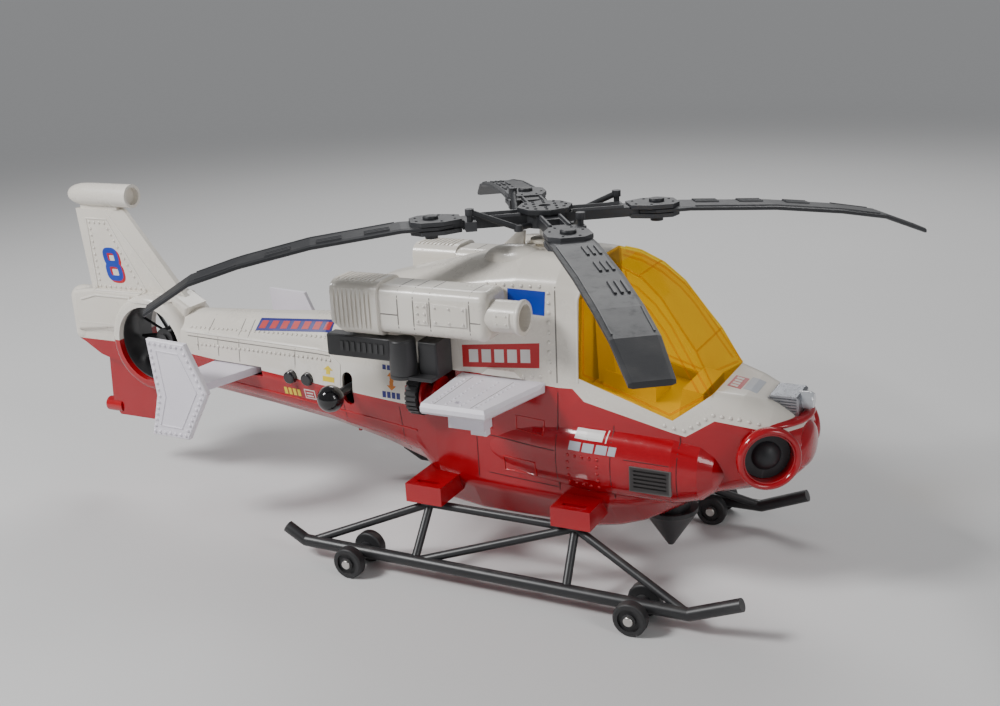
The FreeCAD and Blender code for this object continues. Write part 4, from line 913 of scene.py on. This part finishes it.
def bar(name, ground, x0, x1, z0, z1, colour, slot, lift=0.16):
    """An upright printed bar between two lengths and two heights."""
    label_bar(name, ground, [(x0, z0), (x1, z0), (x1, z1), (x0, z1)], lift, colour, slot, (4, 3))


near = from_side(STARBOARD, "upper_shell")
near_red = from_side(STARBOARD, "lower_shell")
arrow("lever_arrow", near, -52, 121.5, 9, 6, True, ink_yellow, "white_shell")
bar("lever_bar", near, -57, -46.5, 113.2, 116.8, ink_yellow, "white_shell")
for i in range(4):
    start = -96 + i * 4.2
    bar(f"button_bar_{i}", near_red, start, start + 2.8, 97.2, 102.6, ink_yellow, "red_shell")
bar("button_box", near_red, -76.5, -66.5, 96.5, 104.0, ink_white, "red_shell", 0.12)
bar("button_box_inner", near_red, -75.7, -67.3, 97.3, 103.2, red, "red_shell", 0.2)
for i in range(2):
    low = 98.3 + i * 2.4
    bar(f"button_box_line_{i}", near_red, -74.5, -68.5, low, low + 1, ink_white, "red_shell", 0.28)
for i in range(4):
    start = -4 + i * 3.9
    bar(f"winch_top_bar_{i}", near, start, start + 2.8, 128.5, 131.8, ink_navy, "white_shell")
    bar(f"winch_low_bar_{i}", near, start - 1, start + 1.8, 108.6, 113.0, ink_navy, "white_shell")
arrow("winch_up_arrow", near, 3.2, 124.0, 7.5, 7.5, True, ink_orange, "white_shell")
arrow("winch_down_arrow", near, 2.8, 117.6, 7.5, 6.5, False, ink_orange, "white_shell")

deck = from_above("upper_shell")
for name, x0, y0, y1, colour in (("red", 229.5, -14, 6, ink_red), ("silver", 239.0, -12, 10, ink_silver)):
    corners = [(x0, y0), (x0 + 8.5, y0), (x0 + 8.5, y1), (x0, y1)]
    label_bar(f"deck_label_{name}", deck, corners, 0.14, colour, "white_shell", (4, 8))
for i in range(4):
    y0 = -12.4 + i * 4.5
    corners = [(231, y0), (235.4, y0), (235.4, y0 + 3), (231, y0 + 3)]
    label_bar(f"deck_label_block_{i}", deck, corners, 0.26, ink_white, "white_shell", (3, 3))


# %% [markdown]
# ## Rotor details
# Each blade has three groups of three short ribs on its leading half, and the hub's top plate has a
# ring of rivets. They ride on the rotor. A blade's details are drawn once, along the blade, and turned
# to each blade's angle.

# %% Blade ribs and hub rivets
BLADE_ANGLE = 35.2                  # the first blade's rest angle, in degrees
RIB_REACHES = (108, 138, 170)       # the middle of each rib group, out from the mast
RIB_OFFSETS = (2.4, 6.0, 9.6)       # each rib's place across the blade
CLAMP_RIVETS = ((9.5, 5), (9.5, -5), (-6, 10), (-6, -10), (-15, 5), (-15, -5))


def rotor_details():
    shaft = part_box("rotor_shaft")
    axis_x = (shaft[0][0] + shaft[1][0]) / 2 / MM
    hub_top = from_above("rotor_hub")
    clamp_top = from_above("blade_clamps")
    on_rotor = {"material": blade_black, "slot": "black_rotor", "body": "rotor"}
    for i in range(4):
        angle = math.radians(BLADE_ANGLE + 90 * i)
        out = (math.cos(angle), math.sin(angle))

        def at(reach, off):
            return axis_x + out[0] * reach - out[1] * off, out[1] * reach + out[0] * off

        blade_top = from_above(f"blade_{i + 1}")
        runs = [[at(reach - 8, off), at(reach + 8, off)] for reach in RIB_REACHES for off in RIB_OFFSETS]
        ridge(f"blade_ribs_{i + 1}", blade_top, runs, 1.9, 1.0, **on_rotor)
        long_ribs = [[at(96, -11.2), at(222, -10.4)], [at(196, 11.0), at(222, 10.4)]]
        ridge(f"blade_edge_{i + 1}", blade_top, long_ribs, 1.2, 0.5, pitch=6, **on_rotor)
        ring = [at(73.5 + along, off) for along, off in CLAMP_RIVETS]
        rivets(f"clamp_rivets_{i + 1}", clamp_top, ring, radius=1.0, height=0.6, **on_rotor)
        arm_runs = [[at(17, off), at(50, off)] for off in (-6.0, 6.0)]
        ridge(f"arm_ribs_{i + 1}", hub_top, arm_runs, 2.0, 1.6, **on_rotor)
    ring = []
    for reach, count in ((13.5, 12), (8, 6)):
        ring += [(axis_x + reach * math.cos(t), reach * math.sin(t)) for t in circle(count)]
    rivets("hub_rivets", hub_top, ring, radius=1.2, height=0.8, **on_rotor)


rotor_details()


# %% [markdown]
# ## Nacelles
# Each nacelle has square-edged joints round it and riveted service plates on its outer face. The intake
# tube's mouth gets a rolled lip, turned about the tube's own axis.

# %% Nacelle details
def nacelle_details(side_name, side):
    ground = from_side(side, f"nacelle_{side_name}")
    top = from_above(f"nacelle_{side_name}")
    joints = (31, 42.5, 54.5, 82.5)
    uprights = [[(x, 166.5), (x, 193.5)] for x in joints]
    flats = [[(18, 178), (31, 178)], [(82.5, 177), (90, 177)]]
    ridge(f"nacelle_seams_{side_name}", ground, uprights + flats, 0.9, 0.08, seam_grey, "white_shell")
    over = [[(x, side * 41), (x, side * 65)] for x in joints]
    ridge(f"nacelle_top_seams_{side_name}", top, over, 0.9, 0.08, seam_grey, "white_shell")
    small = [(44.2, 173.5), (52.8, 173.5), (52.8, 187.5), (44.2, 187.5)]
    plate(f"nacelle_plate_small_{side_name}", ground, small, 0.9, white, "white_shell")
    large = [(56.5, 173.8), (80.5, 174.2), (80.5, 186.6), (56.5, 187.4)]
    plate(f"nacelle_plate_{side_name}", ground, large, 0.9, white, "white_shell")
    places = [(x, z) for x in (46, 51) for z in (175.6, 180.5, 185.4)]
    places += [(x, z) for x in (58.6, 68.5, 78.4) for z in (175.8, 185.2)]
    rivets(f"nacelle_rivets_{side_name}", ground, places, white, "white_shell", 1.2, 1.9)
    pad = [(98.5, 176), (109, 176), (109, 184.5), (98.5, 184.5)]
    plate(f"intake_pad_{side_name}", ground, pad, 0.8, white, "white_shell", cells=(5, 5))
    places = [(100.4, 178), (107, 178), (100.4, 182.6), (107, 182.6)]
    rivets(f"intake_rivets_{side_name}", ground, places, white, "white_shell", 0.8, 1.6)


def intake_lip(side_name, side):
    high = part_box(f"nacelle_{side_name}")[1]
    profile = [(10.2, -3.2), (11.2, -2.6), (11.4, -1.0), (10.9, -0.05), (8.9, -0.05), (8.6, -2.0)]
    centre = Vector((high[0], side * 55.5 * MM, 180 * MM))
    ring_round(f"intake_lip_{side_name}", centre, Vector((1, 0, 0)), profile, white, "white_shell")


for name, side in SIDES.items():
    nacelle_details(name, side)
    intake_lip(name, side)


# %% [markdown]
# ## Camera
# The camera stands off the starboard bow, a little above the rotor, and leans by three degrees. It could
# track an empty at the model's middle, but three plain angles keep the lean and stay readable.

# %% Camera
EYE = (0.4308, -0.6979, 0.3863)             # metres, in the frame's own axes
TURN, RISE, LEAN = 0.4798, 0.3082, -0.0523   # radians: round the model, above it, and about the view
LENS, SENSOR = 43.89, 36.0


def point_camera():
    data = bpy.data.cameras.new("camera")
    camera = bpy.data.objects.new("camera", data)
    bpy.context.collection.objects.link(camera)
    back = Vector((math.sin(TURN) * math.cos(RISE), -math.cos(TURN) * math.cos(RISE), math.sin(RISE)))
    level = Vector((math.cos(TURN), math.sin(TURN), 0))
    above = back.cross(level)
    right = level * math.cos(LEAN) + above * math.sin(LEAN)
    up = above * math.cos(LEAN) - level * math.sin(LEAN)
    eye = Matrix((right, up, back)).transposed().to_4x4()
    eye.translation = EYE
    camera.matrix_world = eye
    data.sensor_width = SENSOR
    data.lens = LENS
    data.clip_start = 0.01
    data.clip_end = 500.0
    bpy.context.scene.camera = camera
    print("camera at", EYE, "with a", LENS, "mm lens")


point_camera()


# %% [markdown]
# ## Studio
# A pale floor runs far past the model, and from about a metre out it takes on the backdrop's own light, so
# floor and backdrop meet without a hard line. A curved sweep would do the same but would stand in the way
# of some views. One small softbox gives the rivets their shadows; two weaker ones fill the front and rim.

# %% Floor, softboxes and backdrop
STUDIO = (0.80, 0.81, 0.83)
STUDIO_LIGHT = 0.27
FLOOR_REACH = 150.0
SOFTBOXES = {
    "key_softbox": {"place": (-0.9, -1.0, 1.35), "target": (0.0, 0.0, 0.12), "size": (0.5, 0.4), "watts": 34.0},
    "front_softbox": {"place": (1.5, -0.6, 0.8), "target": (0.1, 0.0, 0.1), "size": (0.4, 0.8), "watts": 7.0},
    "back_softbox": {"place": (-0.3, 1.5, 1.3), "target": (0.0, 0.0, 0.1), "size": (1.4, 0.5), "watts": 16.0},
}


def floor():
    mesh = bpy.data.meshes.new("floor")
    corners = [(a * FLOOR_REACH, b * FLOOR_REACH, 0) for a, b in ((-1, -1), (1, -1), (1, 1), (-1, 1))]
    mesh.from_pydata(corners, [], [(0, 1, 2, 3)])
    obj = bpy.data.objects.new("floor", mesh)
    bpy.context.collection.objects.link(obj)
    f = Finish("pale_floor")
    tint = f.mix(f.noise(3.0), rgb(0.62, 0.62, 0.62), rgb(0.66, 0.655, 0.65))
    far = f.add("ShaderNodeVectorMath", {"operation": "LENGTH"}, {0: f.place()})
    sweep = f.ramp(f.number(far, "Value"), 0.9, 2.8)
    f.set(Base_Color=f.mix(1 - sweep, BLACK, tint), Roughness=0.55 + 0.1 * f.noise(40.0),
          Emission_Color=f.mix(sweep, BLACK, rgb(*STUDIO)))
    f.shader.inputs["Emission Strength"].default_value = STUDIO_LIGHT
    mesh.materials.append(f.material)


def softbox(name, place, target, size, watts):
    data = bpy.data.lights.new(name, "AREA")
    data.shape = "RECTANGLE"
    data.size, data.size_y = size
    data.energy = watts
    obj = bpy.data.objects.new(name, data)
    bpy.context.collection.objects.link(obj)
    obj.location = place
    obj.rotation_euler = (Vector(target) - Vector(place)).to_track_quat("-Z", "Y").to_euler()


floor()
for name, setting in SOFTBOXES.items():
    softbox(name, **setting)
world = bpy.data.worlds.new("studio")
world.use_nodes = True
backdrop = world.node_tree.nodes["Background"]
backdrop.inputs["Color"].default_value = rgb(*STUDIO)
backdrop.inputs["Strength"].default_value = STUDIO_LIGHT
bpy.context.scene.world = world
print("softboxes:", len(SOFTBOXES), "backdrop strength:", STUDIO_LIGHT)


# %% [markdown]
# The finished model has to stay inside the frame's own box.
